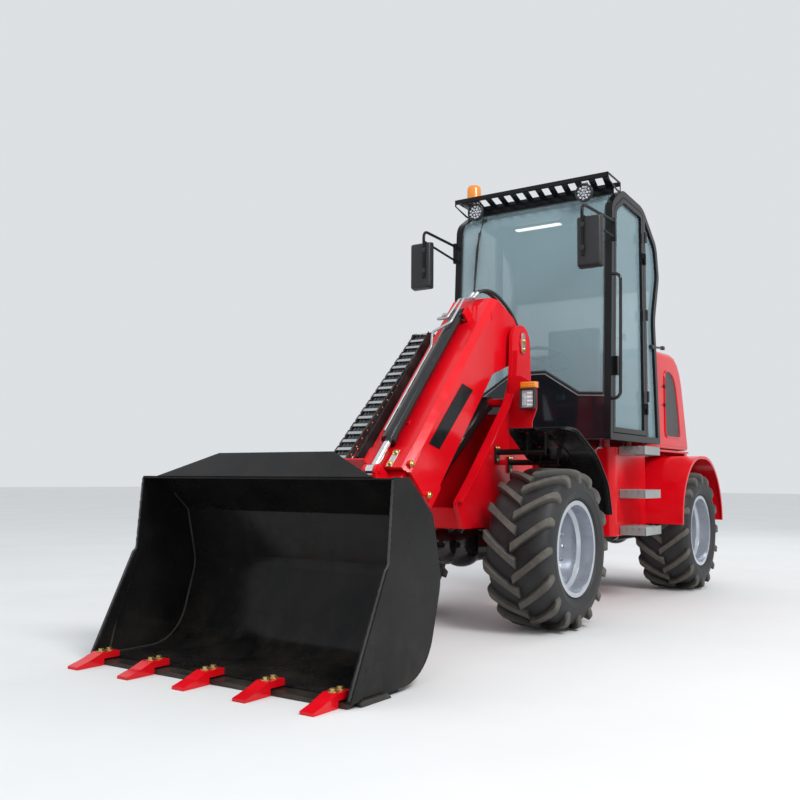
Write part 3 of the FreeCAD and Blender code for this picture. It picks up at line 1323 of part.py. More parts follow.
def hood():
    shell = hoodSolid(0.0).cut(hoodSolid(hoodWall))
    window = plateY(windowOutline, -700.0, 700.0)
    pieces = [shell.cut(window)]
    bores = []
    for y in hoodHingeSides:
        for y0 in (y - 28.0, y + 8.0 + runningGap):
            pieces.append(plateY([
                (hoodFrontX - 60.0, hoodTopZ - hoodWall + 1.0), (hoodHingeX + 14.0, hoodTopZ - hoodWall + 1.0, 20.0),
                (hoodHingeX + 14.0, hoodHingeZ - 15.0, 14.0), (hoodHingeX - 16.0, hoodHingeZ - 15.0, 14.0)],
                y0, y0 + 15.0))
        bores.append(rodY(hoodHingeX, hoodHingeZ, 8.0 + pinGap, y - 40.0, y + 40.0))
    whole = fuse(pieces)
    for bore in bores:
        whole = whole.cut(bore)
    return whole


nodes["hood"] = hood()


def hoodMesh():
    grown = [(frontAxleX - 2290.0, 1205.0, 50.0), (frontAxleX - 2290.0, 1752.0, 65.0),
             (frontAxleX - 2486.0, 1742.0, 155.0), (frontAxleX - 2712.0, 1205.0, 50.0)]
    side = plateY(grown, 0.0, 700.0)
    skin = hoodSolid(hoodWall + seatGap).cut(hoodSolid(hoodWall + seatGap + 5.0))
    return Part.makeCompound(bothSides(skin.common(side)))


nodes["hood_mesh"] = hoodMesh()


# Head lamps on red brackets beside the tower
def lampPlate():
    plateOuter = towerPlateInner + towerPlateThickness
    x = frontAxleX - 150.0
    return plateX([
        (plateOuter, 1020.0), (375.0, 1020.0), (380.0, 1210.0, 20.0), (412.0, 1290.0, 20.0), (412.0, 1440.0, 30.0), (300.0, 1500.0, 30.0),
        (plateOuter, 1500.0)], x - 8.0, x)


lampBracket = lampPlate()
nodes["front_frame"] = fuse([nodes["front_frame"]] + bothSides(lampBracket) + [
    s for piece in fenderBracket() for s in bothSides(piece)])
lamp = plateX([(325.0, 1285.0, 18.0), (425.0, 1285.0, 18.0), (425.0, 1410.0, 18.0), (325.0, 1410.0, 18.0)],
              frontAxleX - 150.0 + seatGap, frontAxleX - 85.0)
signal = plateX([(320.0, 1414.0, 8.0), (430.0, 1414.0, 8.0), (430.0, 1455.0, 8.0), (320.0, 1455.0, 8.0)],
                frontAxleX - 150.0 + seatGap, frontAxleX - 95.0)
nodes["head_lamps"] = Part.makeCompound(bothSides(lamp))
nodes["turn_signals"] = Part.makeCompound(bothSides(signal))
tail = block(rearEndX + 1.0, rearEndX + 14.0 - seatGap, 330.0, 400.0, 900.0, 1040.0)
nodes["tail_lamps"] = Part.makeCompound(bothSides(tail))

for name in sorted(nodes):
    shape = nodes[name]
    if not shape.isValid():
        print("not valid:", name)
    box = shape.BoundBox
    print("%-22s solids %d volume %.1f l  x %.0f..%.0f y %.0f..%.0f z %.0f..%.0f" % (
        name, len(shape.Solids), shape.Volume / 1e6, box.XMin, box.XMax, box.YMin, box.YMax, box.ZMin, box.ZMax))
    shape.exportStep("parts/" + name + ".step")
print("nodes", len(nodes))
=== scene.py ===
import math
import bmesh
import bpy
from mathutils import Matrix, Vector


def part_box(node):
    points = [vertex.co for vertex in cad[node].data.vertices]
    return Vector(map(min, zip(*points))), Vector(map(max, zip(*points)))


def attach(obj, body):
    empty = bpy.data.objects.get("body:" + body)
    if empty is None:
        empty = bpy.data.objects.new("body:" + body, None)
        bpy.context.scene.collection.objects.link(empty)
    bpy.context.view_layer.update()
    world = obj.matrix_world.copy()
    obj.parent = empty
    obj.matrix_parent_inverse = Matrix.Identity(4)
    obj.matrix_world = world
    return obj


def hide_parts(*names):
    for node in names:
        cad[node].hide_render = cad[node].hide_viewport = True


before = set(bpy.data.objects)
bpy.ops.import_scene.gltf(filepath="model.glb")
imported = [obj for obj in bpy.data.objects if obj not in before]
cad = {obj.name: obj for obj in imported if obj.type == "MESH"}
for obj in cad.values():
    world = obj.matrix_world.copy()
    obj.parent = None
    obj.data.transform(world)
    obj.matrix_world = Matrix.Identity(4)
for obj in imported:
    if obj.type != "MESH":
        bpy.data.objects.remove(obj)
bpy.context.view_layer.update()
print("frame loaded:", len(cad), "nodes")

scene = bpy.context.scene
up, axle, forward = Vector((0, 0, 1)), Vector((0, 1, 0)), Vector((1, 0, 0))

# Places that several pieces share, in metres
places = {
    "frontAxleX": 0.365, "rearAxleX": -2.085, "wheelY": 0.55, "axleZ": 0.4625,
    "boomPivot": (0.035, 1.73), "boomAngle": math.radians(47.6),
    "bucketLipX": 2.485,
}


def boomSpot(t, y, n):
    # T runs down the boom from its pivot, N is square to it
    angle = places["boomAngle"]
    x0, z0 = places["boomPivot"]
    return Vector((x0 + t * math.cos(angle) + n * math.sin(angle), y,
                   z0 - t * math.sin(angle) + n * math.cos(angle)))


def boomWay(t, y, n):
    return boomSpot(t, y, n) - boomSpot(0, 0, 0)


# Camera
view = {"place": (5.286, 2.844, 0.857), "yaw": 34.205, "pitch": 4.932, "roll": 0.39, "lens": 40.905}


def makeCamera():
    yaw, pitch, roll = (math.radians(view[k]) for k in ("yaw", "pitch", "roll"))
    ahead = Vector((-math.cos(yaw) * math.cos(pitch), -math.sin(yaw) * math.cos(pitch), math.sin(pitch)))
    right = ahead.cross(up).normalized()
    top = right.cross(ahead)
    right, top = (math.cos(roll) * right + math.sin(roll) * top,
                  -math.sin(roll) * right + math.cos(roll) * top)
    data = bpy.data.cameras.new("viewCamera")
    data.lens = view["lens"]
    data.sensor_width = 36.0
    camera = bpy.data.objects.new("viewCamera", data)
    scene.collection.objects.link(camera)
    turned = Matrix((right, top, -ahead)).transposed().to_4x4()
    camera.matrix_world = Matrix.Translation(view["place"]) @ turned
    scene.camera = camera


makeCamera()
scene.view_settings.view_transform = "Standard"

# Light
light = {
    "sky": (0.92, 0.96, 1.0), "skyStrength": 1.0, "seen": (0.80, 0.83, 0.86), "seenStrength": 0.90,
    "aim": (0.0, 0.0, 1.0),
    # Place, size and power of each lamp
    "lamps": {"key": ((3.0, 6.5, 7.5), 3.5, 620.0), "fill": ((7.5, -4.0, 4.5), 6.0, 60.0),
              "back": ((-8.0, 1.5, 6.5), 6.0, 160.0)},
}


def addLamp(role, place, size, power):
    data = bpy.data.lights.new(role + "Lamp", "AREA")
    data.shape = "SQUARE"
    data.size = size
    data.energy = power
    lamp = bpy.data.objects.new(role + "Lamp", data)
    scene.collection.objects.link(lamp)
    lamp.location = place
    lamp.rotation_euler = (Vector(light["aim"]) - Vector(place)).to_track_quat("-Z", "Y").to_euler()
    lamp.visible_camera = False
    lamp.visible_glossy = role == "key"


for role, values in light["lamps"].items():
    addLamp(role, *values)


# Node helpers
def feed(tree, socket, value):
    # Links a socket, or sets a plain value
    if isinstance(value, bpy.types.NodeSocket):
        tree.links.new(value, socket)
    else:
        socket.default_value = (*value, 1) if socket.type == "RGBA" else value


def fill(tree, node, **values):
    # A key is a property of the node, or a socket's name with _ for each space
    for key, value in values.items():
        if hasattr(node, key):
            setattr(node, key, value)
        else:
            feed(tree, node.inputs[key.replace("_", " ")], value)


def putNode(tree, kind, **values):
    node = tree.nodes.new(kind)
    fill(tree, node, **values)
    return node


def combine(tree, operation, *values):
    node = putNode(tree, "ShaderNodeMath", operation=operation)
    for socket, value in zip(node.inputs, values):
        feed(tree, socket, value)
    return node.outputs[0]


def between(tree, share, low, high, start=0.0, end=1.0):
    # From low to high while the share goes from start to end
    node = putNode(tree, "ShaderNodeMapRange", Value=share, From_Min=start, From_Max=end, To_Min=low, To_Max=high)
    return node.outputs["Result"]


def tint(tree, share, first, second):
    # A colour between two, each a value or a socket
    node = putNode(tree, "ShaderNodeMix", data_type="RGBA")
    for index, value in zip((0, 6, 7), (share, first, second)):
        feed(tree, node.inputs[index], value)
    return node.outputs[2]


def objectPlace(tree):
    return putNode(tree, "ShaderNodeTexCoord").outputs["Object"]


def speckle(tree, scale, detail, stretch=(1, 1, 1)):
    # Noise over the object's own place, stretched along an axis where it streaks
    shift = putNode(tree, "ShaderNodeMapping", Scale=stretch, Vector=objectPlace(tree))
    noise = putNode(tree, "ShaderNodeTexNoise", Scale=scale, Detail=detail, Roughness=0.6, Vector=shift.outputs[0])
    return noise.outputs["Fac"]


def patches(tree, scale, detail, low, high, stretch=(1, 1, 1)):
    # Noise that is 0 below low and 1 above high
    return between(tree, speckle(tree, scale, detail, stretch), 0.0, 1.0, low, high)


def waves(tree, axes, **values):
    return [putNode(tree, "ShaderNodeTexWave", bands_direction=axis, Vector=objectPlace(tree), **values)
            .outputs["Fac"] for axis in axes]


def relief(tree, shader, heights, rounding=0.0):
    # Bumps one on another, over softly rounded edges
    normal = None
    if rounding > 0.0:
        normal = putNode(tree, "ShaderNodeBevel", samples=4, Radius=rounding).outputs[0]
    for height, strength, distance in heights:
        bump = putNode(tree, "ShaderNodeBump", Strength=strength, Distance=distance, Height=height)
        if normal:
            tree.links.new(normal, bump.inputs["Normal"])
        normal = bump.outputs[0]
    tree.links.new(normal, shader.inputs["Normal"])


def makeWorld():
    # The camera, mirrors and glass see a greyer sky than the one that lights the scene
    scene.world = bpy.data.worlds.new("studioSky")
    scene.world.use_nodes = True
    tree = scene.world.node_tree
    tree.nodes.clear()
    rays = putNode(tree, "ShaderNodeLightPath").outputs
    seen = combine(tree, "MAXIMUM", rays["Is Camera Ray"], rays["Is Glossy Ray"])
    mix = putNode(tree, "ShaderNodeMixShader", Fac=combine(tree, "MAXIMUM", seen, rays["Is Transmission Ray"]))
    for socket, role in zip(list(mix.inputs)[1:], ("sky", "seen")):
        glow = putNode(tree, "ShaderNodeBackground", Color=light[role], Strength=light[role + "Strength"])
        tree.links.new(glow.outputs[0], socket)
    putNode(tree, "ShaderNodeOutputWorld", Surface=mix.outputs[0])


makeWorld()
print("camera, light and world ready")

# Finishes
finishes = {}


def newFinish(name):
    made = bpy.data.materials.new(name)
    made.use_nodes = True
    finishes[name] = made
    return made.node_tree, made.node_tree.nodes["Principled BSDF"]


# Paints and metals: base colour, shade it drifts to, dust it gathers low down and in patches
paints = {
    "redPaint": dict(base=(0.66, 0.003, 0.010), shade=(0.54, 0.002, 0.007), dust=(0.34, 0.10, 0.08),
                     dusty=0.06, rough=(0.14, 0.26), coat=0.14, grain=0.02, low=0.9, shine=0.28),
    "blackPaint": dict(base=(0.008, 0.008, 0.0085), shade=(0.014, 0.014, 0.0145), dust=(0.12, 0.105, 0.09),
                       dusty=0.10, rough=(0.20, 0.38), coat=0.05, grain=0.03, low=0.9, shine=0.16),
    "glossBlack": dict(base=(0.006, 0.0062, 0.007), shade=(0.011, 0.011, 0.012), dust=(0.11, 0.095, 0.08),
                       dusty=0.08, rough=(0.12, 0.30), coat=0.35, grain=0.03, low=0.9, shine=0.40),
    "frameBlack": dict(base=(0.007, 0.0075, 0.009), shade=(0.011, 0.012, 0.013), dust=(0.08, 0.08, 0.08),
                       dusty=0.05, rough=(0.16, 0.30), coat=0.06, grain=0.02, low=0.9, shine=0.14),
    "bucketPaint": dict(base=(0.0055, 0.0055, 0.006), shade=(0.011, 0.0105, 0.010), dust=(0.085, 0.068, 0.052),
                        dusty=0.30, rough=(0.16, 0.40), coat=0.04, grain=0.05, low=0.30, shine=0.13),
    "edgeSteel": dict(base=(0.012, 0.011, 0.011), shade=(0.045, 0.038, 0.032), dust=(0.11, 0.085, 0.062),
                      dusty=0.6, rough=(0.30, 0.6), metal=0.25, grain=0.12, low=0.25, shine=0.4),
    "rimSilver": dict(base=(0.54, 0.57, 0.62), shade=(0.44, 0.47, 0.52), dust=(0.30, 0.26, 0.21),
                      dusty=0.12, rough=(0.20, 0.32), coat=0.25, metal=0.68, grain=0.015, low=0.7, shine=0.5),
    "zincSteel": dict(base=(0.55, 0.57, 0.58), shade=(0.38, 0.40, 0.41), dust=(0.25, 0.22, 0.18),
                      dusty=0.20, rough=(0.34, 0.55), metal=0.85, grain=0.06, low=1.2, shine=0.5),
    "stepZinc": dict(base=(0.42, 0.45, 0.44), shade=(0.30, 0.32, 0.31), dust=(0.22, 0.19, 0.15),
                     dusty=0.35, rough=(0.42, 0.62), metal=0.55, grain=0.14, low=1.2, shine=0.5),
    "yellowZinc": dict(base=(0.66, 0.50, 0.20), shade=(0.52, 0.36, 0.13), dust=(0.2, 0.17, 0.12),
                       dusty=0.12, rough=(0.26, 0.40), metal=0.9, grain=0.03, low=0.4, shine=0.5),
    "weldGrey": dict(base=(0.055, 0.056, 0.060), shade=(0.018, 0.018, 0.019), dust=(0.13, 0.11, 0.09),
                     dusty=0.35, rough=(0.28, 0.5), metal=0.2, grain=0.25, low=0.8, shine=0.5),
    "castIron": dict(base=(0.010, 0.010, 0.0105), shade=(0.020, 0.0195, 0.019), dust=(0.13, 0.105, 0.085),
                     dusty=0.28, rough=(0.22, 0.50), coat=0.15, grain=0.16, low=0.8, shine=0.45),
}

# Wear over every paint: the noise's scale and detail, then where it begins and where it is full
wear = {
    "drift": (2.4, 4.0, 0.35, 0.7), "dust": (5.5, 8.0, 0.42, 0.78), "scuffs": (14.0, 6.0, 0.45, 0.8),
    "streaks": (26.0, 3.0, 0.5, 0.82, (1, 1, 0.12)), "streakShare": 0.35, "highDust": 0.28,
    "coatRough": 0.12, "rounding": 0.0028,
}


def paintFinish(name, base, shade, dust, dusty, rough, grain, low, shine, coat=0.0, metal=0.0):
    tree, shader = newFinish(name)
    body = tint(tree, patches(tree, *wear["drift"]), base, shade)
    # Dust lies in patches, thickest near the ground, with thin streaks running down
    streaks = combine(tree, "MULTIPLY", patches(tree, *wear["streaks"]), wear["streakShare"])
    cover = combine(tree, "ADD", patches(tree, *wear["dust"]), streaks)
    height = putNode(tree, "ShaderNodeSeparateXYZ", Vector=objectPlace(tree)).outputs["Z"]
    cover = combine(tree, "MULTIPLY", cover, between(tree, height, 1.0, wear["highDust"], 0.0, low))
    cover = combine(tree, "MULTIPLY", cover, dusty)
    scuffs = combine(tree, "MAXIMUM", cover, patches(tree, *wear["scuffs"]))
    fill(tree, shader, Base_Color=tint(tree, cover, body, dust), Roughness=between(tree, scuffs, *rough),
         Metallic=metal, Coat_Weight=coat, Coat_Roughness=wear["coatRough"], Specular_IOR_Level=shine)
    relief(tree, shader, [(speckle(tree, 240.0, 2.0), grain * 3, 0.0006),
                          (speckle(tree, 9.0, 2.0), grain * 2, 0.004)], wear["rounding"])


for key, values in paints.items():
    paintFinish(key, **values)


def chromeFinish():
    tree, shader = newFinish("polishedChrome")
    wiped = patches(tree, 60.0, 2.0, 0.4, 0.8)
    fill(tree, shader, Base_Color=tint(tree, wiped, (0.83, 0.84, 0.86), (0.74, 0.75, 0.78)),
         Roughness=between(tree, wiped, 0.10, 0.22), Metallic=1.0)
    relief(tree, shader, [(speckle(tree, 400.0, 1.0), 0.04, 0.0003)])


chromeFinish()

# Rubbers and plastics
softs = {
    "hoseRubber": dict(base=(0.012, 0.012, 0.013), other=(0.024, 0.023, 0.022), rough=(0.42, 0.6),
                       grain=0.25, scale=320.0),
    "mouldedBlack": dict(base=(0.012, 0.012, 0.013), other=(0.019, 0.019, 0.02), rough=(0.38, 0.52),
                         grain=0.28, scale=650.0),
    "chainPlastic": dict(base=(0.012, 0.012, 0.013), other=(0.05, 0.046, 0.04), rough=(0.35, 0.55),
                         grain=0.15, scale=300.0),
    "cabTrim": dict(base=(0.030, 0.031, 0.033), other=(0.045, 0.045, 0.047), rough=(0.5, 0.65),
                    grain=0.4, scale=500.0),
    "panelGloss": dict(base=(0.006, 0.010, 0.013), other=(0.010, 0.014, 0.017), rough=(0.06, 0.12),
                       grain=0.02, scale=300.0),
}


def softFinish(name, base, other, rough, grain, scale):
    tree, shader = newFinish(name)
    drift = patches(tree, 7.0, 5.0, 0.42, 0.75)
    fill(tree, shader, Base_Color=tint(tree, drift, base, other), Roughness=between(tree, drift, *rough))
    relief(tree, shader, [(speckle(tree, scale, 2.0), grain, 0.0008)], 0.0015)


for key, values in softs.items():
    softFinish(key, **values)


def tyreFinish():
    # Black rubber with brown earth on the lugs' tops and a grey bloom on the walls
    tree, shader = newFinish("tyreRubber")
    worn = putNode(tree, "ShaderNodeAttribute", attribute_name="dust").outputs["Fac"]
    patch = combine(tree, "MULTIPLY", patches(tree, 22.0, 7.0, 0.25, 0.75), 0.65)
    earth = combine(tree, "MULTIPLY", worn, combine(tree, "ADD", 0.35, patch))
    bloom = patches(tree, 6.0, 8.0, 0.40, 0.80)
    wall = tint(tree, bloom, (0.0075, 0.0077, 0.0085), (0.034, 0.033, 0.032))
    fill(tree, shader, Base_Color=tint(tree, earth, wall, (0.118, 0.106, 0.088)),
         Roughness=between(tree, combine(tree, "MAXIMUM", earth, bloom), 0.48, 0.85))
    relief(tree, shader, [(speckle(tree, 160.0, 4.0), 0.35, 0.0012), (speckle(tree, 30.0, 3.0), 0.3, 0.003)])


tyreFinish()

# cabGlass has no transmission: its blue-grey colour is a diffuse film on the panes, a painted reflection of the sky;
# lampGlass's colour tints its transmission
glasses = {"cabGlass": dict(colour=(0.30, 0.425, 0.465), alpha=0.46, haze=0.9, clear=0.0),
           "lampGlass": dict(colour=(0.90, 0.93, 0.95), alpha=0.35, haze=0.97, clear=1.0)}


def glassFinish(name, colour, alpha, haze, clear):
    tree, shader = newFinish(name)
    # Colour and roughness drift in patches; on cabGlass this drifts the painted reflection
    paneDrift = patches(tree, 3.0, 6.0, 0.35, 0.85)
    fill(tree, shader, Base_Color=tint(tree, paneDrift, colour, tuple(c * haze for c in colour)),
         Roughness=between(tree, paneDrift, 0.0, 0.03), Transmission_Weight=clear, IOR=1.12, Alpha=alpha,
         Coat_Weight=0.6, Coat_Roughness=0.02)


for key, values in glasses.items():
    glassFinish(key, **values)

# Moulded lenses: colour, glow and the scale of their cells
lenses = {"amberLens": ((0.90, 0.27, 0.01), 0.12, 180.0), "redLens": ((0.45, 0.01, 0.01), 0.04, 180.0),
          "whiteCell": ((0.86, 0.88, 0.90), 0.35, 300.0), "lampFace": ((0.62, 0.64, 0.68), 0.12, 90.0),
          "litCell": ((1.0, 0.98, 0.95), 3.0, 300.0)}


def lensFinish(name, colour, glow, scale):
    tree, shader = newFinish(name)
    cells = putNode(tree, "ShaderNodeTexVoronoi", Scale=scale, Vector=objectPlace(tree)).outputs["Distance"]
    deep = tuple(c * 0.6 for c in colour)
    fill(tree, shader, Base_Color=tint(tree, between(tree, cells, 0.0, 1.0, 0.0, 0.8), colour, deep),
         Roughness=between(tree, cells, 0.10, 0.25), Coat_Weight=0.7, Emission_Color=colour,
         Emission_Strength=glow)
    relief(tree, shader, [(cells, 0.5, 0.0015)])


for key, values in lenses.items():
    lensFinish(key, *values)


def meshFinish():
    # Dark woven wire over the hood's side windows, on a solid plate: the near-black between the wires is painted shade
    # where holes would show the dark bay
    tree, shader = newFinish("wireMesh")
    wires = combine(tree, "MAXIMUM", *waves(tree, "XZ", Scale=60.0))
    share = between(tree, wires, 0.0, 1.0, 0.35, 0.8)
    # Wires dark grey, the space between them near-black: painted shade
    fill(tree, shader, Base_Color=tint(tree, share, (0.006, 0.006, 0.007), (0.085, 0.088, 0.092)),
         Roughness=between(tree, share, 0.8, 0.42))
    relief(tree, shader, [(wires, 0.9, 0.004)])


def clothFinish():
    tree, shader = newFinish("seatCloth")
    weave = combine(tree, "MULTIPLY", *waves(tree, "YZ", Scale=260.0, Distortion=0.6))
    faded = patches(tree, 8.0, 5.0, 0.4, 0.75)
    base = tint(tree, faded, (0.020, 0.021, 0.024), (0.042, 0.043, 0.048))
    fill(tree, shader, Base_Color=tint(tree, weave, base, (0.06, 0.062, 0.068)),
         Roughness=between(tree, faded, 0.75, 0.92), Sheen_Weight=0.3)
    relief(tree, shader, [(weave, 0.5, 0.001)])


meshFinish()
clothFinish()
print("finishes ready:", len(finishes))

# Nodes that keep their shape and get a finish
dressed = {
    "redPaint": ("front_frame", "boom", "inner_boom", "rear_frame", "counterweight", "rear_fender_left",
                 "rear_fender_right", "tilt_rocker", "tilt_link", "bucket_teeth"),
    "blackPaint": ("front_fender_left", "front_fender_right", "coupler"),
    "glossBlack": ("telescope_barrel", "lift_cylinder_barrel", "steer_barrel_left", "steer_barrel_right",
                   "grab_handle", "front_axle", "rear_axle"),
    "frameBlack": ("cab_frame", "cab_roof", "door_frame"),
    "panelGloss": ("cab_floor",),
    "bucketPaint": ("bucket",),
    "rimSilver": ("front_rim_left", "front_rim_right", "rear_rim_left", "rear_rim_right"),
    "polishedChrome": ("telescope_rod", "lift_cylinder_rod", "steer_rod_left", "steer_rod_right"),
    "zincSteel": ("boom_pipes",),
    "edgeSteel": ("cutting_edge",),
    "castIron": ("engine",),
    "cabTrim": ("steering_column", "lever_box"),
    "cabGlass": ("windscreen", "rear_glass", "side_glass", "door_glass"),
}


def dress(node, finish):
    if not node.material_slots:
        node.data.materials.append(None)
    for place in node.material_slots:
        place.link = "OBJECT"
        place.material = finishes[finish]


for finish, names in dressed.items():
    for name in names:
        dress(cad[name], finish)


# Mesh helpers
def rectangle(low, high, edge=0.0):
    # Four corners between two, drawn in by an edge
    (a, b), (c, d) = low, high
    return [(a + edge, b + edge), (c - edge, b + edge), (c - edge, d - edge), (a + edge, d - edge)]


def span(side, near, far):
    # The lower and the higher of two places on one side of the middle
    return sorted((side * near, side * far))


def pour(target, source):
    # Adds one bmesh to another
    held = meshOf(source, "held")
    target.from_mesh(held)
    bpy.data.meshes.remove(held)


def soften(bm, rounding, segments=2, angle=30.0):
    edges = [e for e in bm.edges if len(e.link_faces) == 2 and e.calc_face_angle(0) > math.radians(angle)]
    bmesh.ops.bevel(bm, geom=edges, offset=rounding, segments=segments, profile=0.6, affect="EDGES",
                    clamp_overlap=True)


def prism(target, outline, axis, low, high, rounding=0.0, segments=2, lean=0.0):
    # A plate with the given outline, thick from low to high along an axis; lean shrinks its far face
    order = {"X": lambda a, b, c: (c, a, b), "Y": lambda a, b, c: (a, c, b), "Z": lambda a, b, c: (a, b, c)}[axis]
    bm = bmesh.new()
    middle = Vector((sum(p[0] for p in outline), sum(p[1] for p in outline))) / len(outline)
    near = [bm.verts.new(order(p[0], p[1], low)) for p in outline]
    far = []
    for p in outline:
        spot = middle + (Vector(p) - middle) * (1.0 - lean)
        far.append(bm.verts.new(order(spot.x, spot.y, high)))
    bm.faces.new(near)
    bm.faces.new(far[::-1])
    count = len(outline)
    for i in range(count):
        j = (i + 1) % count
        bm.faces.new((near[i], far[i], far[j], near[j]))
    bmesh.ops.recalc_face_normals(bm, faces=bm.faces)
    if rounding > 0.0:
        soften(bm, rounding, segments)
    pour(target, bm)


def box(target, low, high, rounding=0.0, segments=2):
    prism(target, rectangle(low[:2], high[:2]), "Z", low[2], high[2], rounding, segments)


def lathe(target, profile, place, way, segments=32, closed=False):
    # A turned shape: profile of (radius, along the axis)
    bm = bmesh.new()
    turn = Vector(way).normalized().to_track_quat("Z", "Y").to_matrix()
    rings = []
    for radius, along in profile:
        if radius < 1e-6:
            rings.append([bm.verts.new(Vector(place) + turn @ Vector((0, 0, along)))])
            continue
        ring = []
        for i in range(segments):
            angle = 2 * math.pi * i / segments
            ring.append(bm.verts.new(Vector(place) + turn @ Vector(
                (radius * math.cos(angle), radius * math.sin(angle), along))))
        rings.append(ring)
    for first, second in zip(rings, rings[1:] + ([rings[0]] if closed else [])):
        for i in range(segments):
            j = (i + 1) % segments
            if len(first) == 1 and len(second) == 1:
                continue
            if len(first) == 1:
                bm.faces.new((first[0], second[j], second[i]))
            elif len(second) == 1:
                bm.faces.new((first[i], first[j], second[0]))
            else:
                bm.faces.new((first[i], first[j], second[j], second[i]))
    if not closed:
        for ring in (rings[0], rings[-1]):
            if len(ring) > 1:
                bm.faces.new(ring)
    bmesh.ops.recalc_face_normals(bm, faces=bm.faces)
    pour(target, bm)


def skin(bm, rings):
    # Faces between rings of the same count, and one over each end
    for first, second in zip(rings, rings[1:]):
        for i in range(len(first)):
            j = (i + 1) % len(first)
            bm.faces.new((first[i], first[j], second[j], second[i]))
    bm.faces.new(rings[0])
    bm.faces.new(rings[-1])
    bmesh.ops.recalc_face_normals(bm, faces=bm.faces)


def pipe(target, points, radius, sides=12, bend=0.0):
    # A round tube through points, with each corner cut by a short arc of points
    line = []
    for i, point in enumerate(points):
        here = Vector(point)
        if bend > 0.0 and 0 < i < len(points) - 1:
            before, after = Vector(points[i - 1]), Vector(points[i + 1])
            cut = min(bend, (before - here).length * 0.48, (after - here).length * 0.48)
            a = here + (before - here).normalized() * cut
            b = here + (after - here).normalized() * cut
            for k in range(7):
                s = k / 6
                line.append(a * (1 - s) ** 2 + here * 2 * s * (1 - s) + b * s * s)
        else:
            line.append(here)
    bm = bmesh.new()
    side = None
    rings = []
    for i, here in enumerate(line):
        way = (line[min(i + 1, len(line) - 1)] - line[max(i - 1, 0)]).normalized()
        if side is None:
            side = way.orthogonal().normalized()
        side = (side - way * side.dot(way)).normalized()
        other = way.cross(side)
        rings.append([bm.verts.new(here + radius * (side * math.cos(2 * math.pi * k / sides) +
                                                    other * math.sin(2 * math.pi * k / sides)))
                      for k in range(sides)])
    skin(bm, rings)
    pour(target, bm)


def linkUp(name, mesh):
    made = bpy.data.objects.new(name, mesh)
    scene.collection.objects.link(made)
    return made


def settle(name, mesh, finish, body, angle=32.0):
    # The last steps of every piece
    mesh.name = name
    mesh.shade_smooth()
    mesh.set_sharp_from_angle(angle=math.radians(angle))
    mesh.materials.clear()
    mesh.materials.append(finishes[finish])
    made = linkUp(name, mesh)
    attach(made, body)
    return made


def meshOf(bm, name="shapeMesh"):
    mesh = bpy.data.meshes.new(name)
    bm.to_mesh(mesh)
    bm.free()
    return mesh


def piece(name, bm, finish, body, *replaced, slot=None):
    made = settle(name, meshOf(bm), finish, body)
    if replaced:
        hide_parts(*replaced)
    return made


# Geometry node trees
def newTree(name, **inputs):
    tree = bpy.data.node_groups.new(name, "GeometryNodeTree")
    tree.interface.new_socket("Geometry", in_out="OUTPUT", socket_type="NodeSocketGeometry")
    for label, kind in dict(Geometry="Geometry", Shape="Object", **inputs).items():
        tree.interface.new_socket(label, in_out="INPUT", socket_type="NodeSocket" + kind)
    return tree, tree.nodes.new("NodeGroupInput").outputs


def endTree(tree, entry, points, **values):
    # The shape on each point, as a plain mesh
    info = putNode(tree, "GeometryNodeObjectInfo", Object=entry["Shape"])
    copies = putNode(tree, "GeometryNodeInstanceOnPoints", Points=points, Instance=info.outputs["Geometry"],
                     **values)
    real = putNode(tree, "GeometryNodeRealizeInstances", Geometry=copies.outputs[0])
    putNode(tree, "NodeGroupOutput", Geometry=real.outputs[0])
    return tree


def aroundAxleTree():
    # Copies of a shape turned round the Y axis
    tree, entry = newTree("aroundAxle", Count="Int", Turn="Float")
    points = putNode(tree, "GeometryNodePoints", Count=entry["Count"])
    index = putNode(tree, "GeometryNodeInputIndex")
    step = combine(tree, "DIVIDE", -2 * math.pi, entry["Count"])
    angle = combine(tree, "MULTIPLY_ADD", index.outputs[0], step, entry["Turn"])
    turn = putNode(tree, "ShaderNodeCombineXYZ", Y=angle)
    return endTree(tree, entry, points.outputs[0], Rotation=turn.outputs[0])


def alongRouteTree():
    # Copies of a shape along a line in the XZ plane, its corners rounded; X follows the line
    tree, entry = newTree("alongRoute", Spacing="Float", Bend="Float")
    line = putNode(tree, "GeometryNodeMeshToCurve", Mesh=entry["Geometry"])
    bend = putNode(tree, "GeometryNodeFilletCurve", mode="POLY", Curve=line.outputs[0], Count=16,
                   Radius=entry["Bend"], Limit_Radius=True)
    stops = putNode(tree, "GeometryNodeResampleCurve", mode="LENGTH", Curve=bend.outputs[0],
                    Length=entry["Spacing"])
    tangent = putNode(tree, "GeometryNodeInputTangent")
    turn = putNode(tree, "FunctionNodeAlignRotationToVector", axis="X", pivot_axis="Y", Vector=tangent.outputs[0])
    return endTree(tree, entry, stops.outputs[0], Rotation=turn.outputs[0])


def onMarksTree():
    # Copies of a shape on marked points, its Z axis along each mark's facing, in each mark's size
    tree, entry = newTree("onMarks")
    facing = putNode(tree, "GeometryNodeInputNamedAttribute", data_type="FLOAT_VECTOR", Name="facing")
    size = putNode(tree, "GeometryNodeInputNamedAttribute", data_type="FLOAT", Name="size")
    turn = putNode(tree, "FunctionNodeAlignRotationToVector", axis="Z", Vector=facing.outputs[0])
    return endTree(tree, entry, entry["Geometry"], Rotation=turn.outputs[0], Scale=size.outputs[0])


trees = {"aroundAxle": aroundAxleTree(), "alongRoute": alongRouteTree(), "onMarks": onMarksTree()}


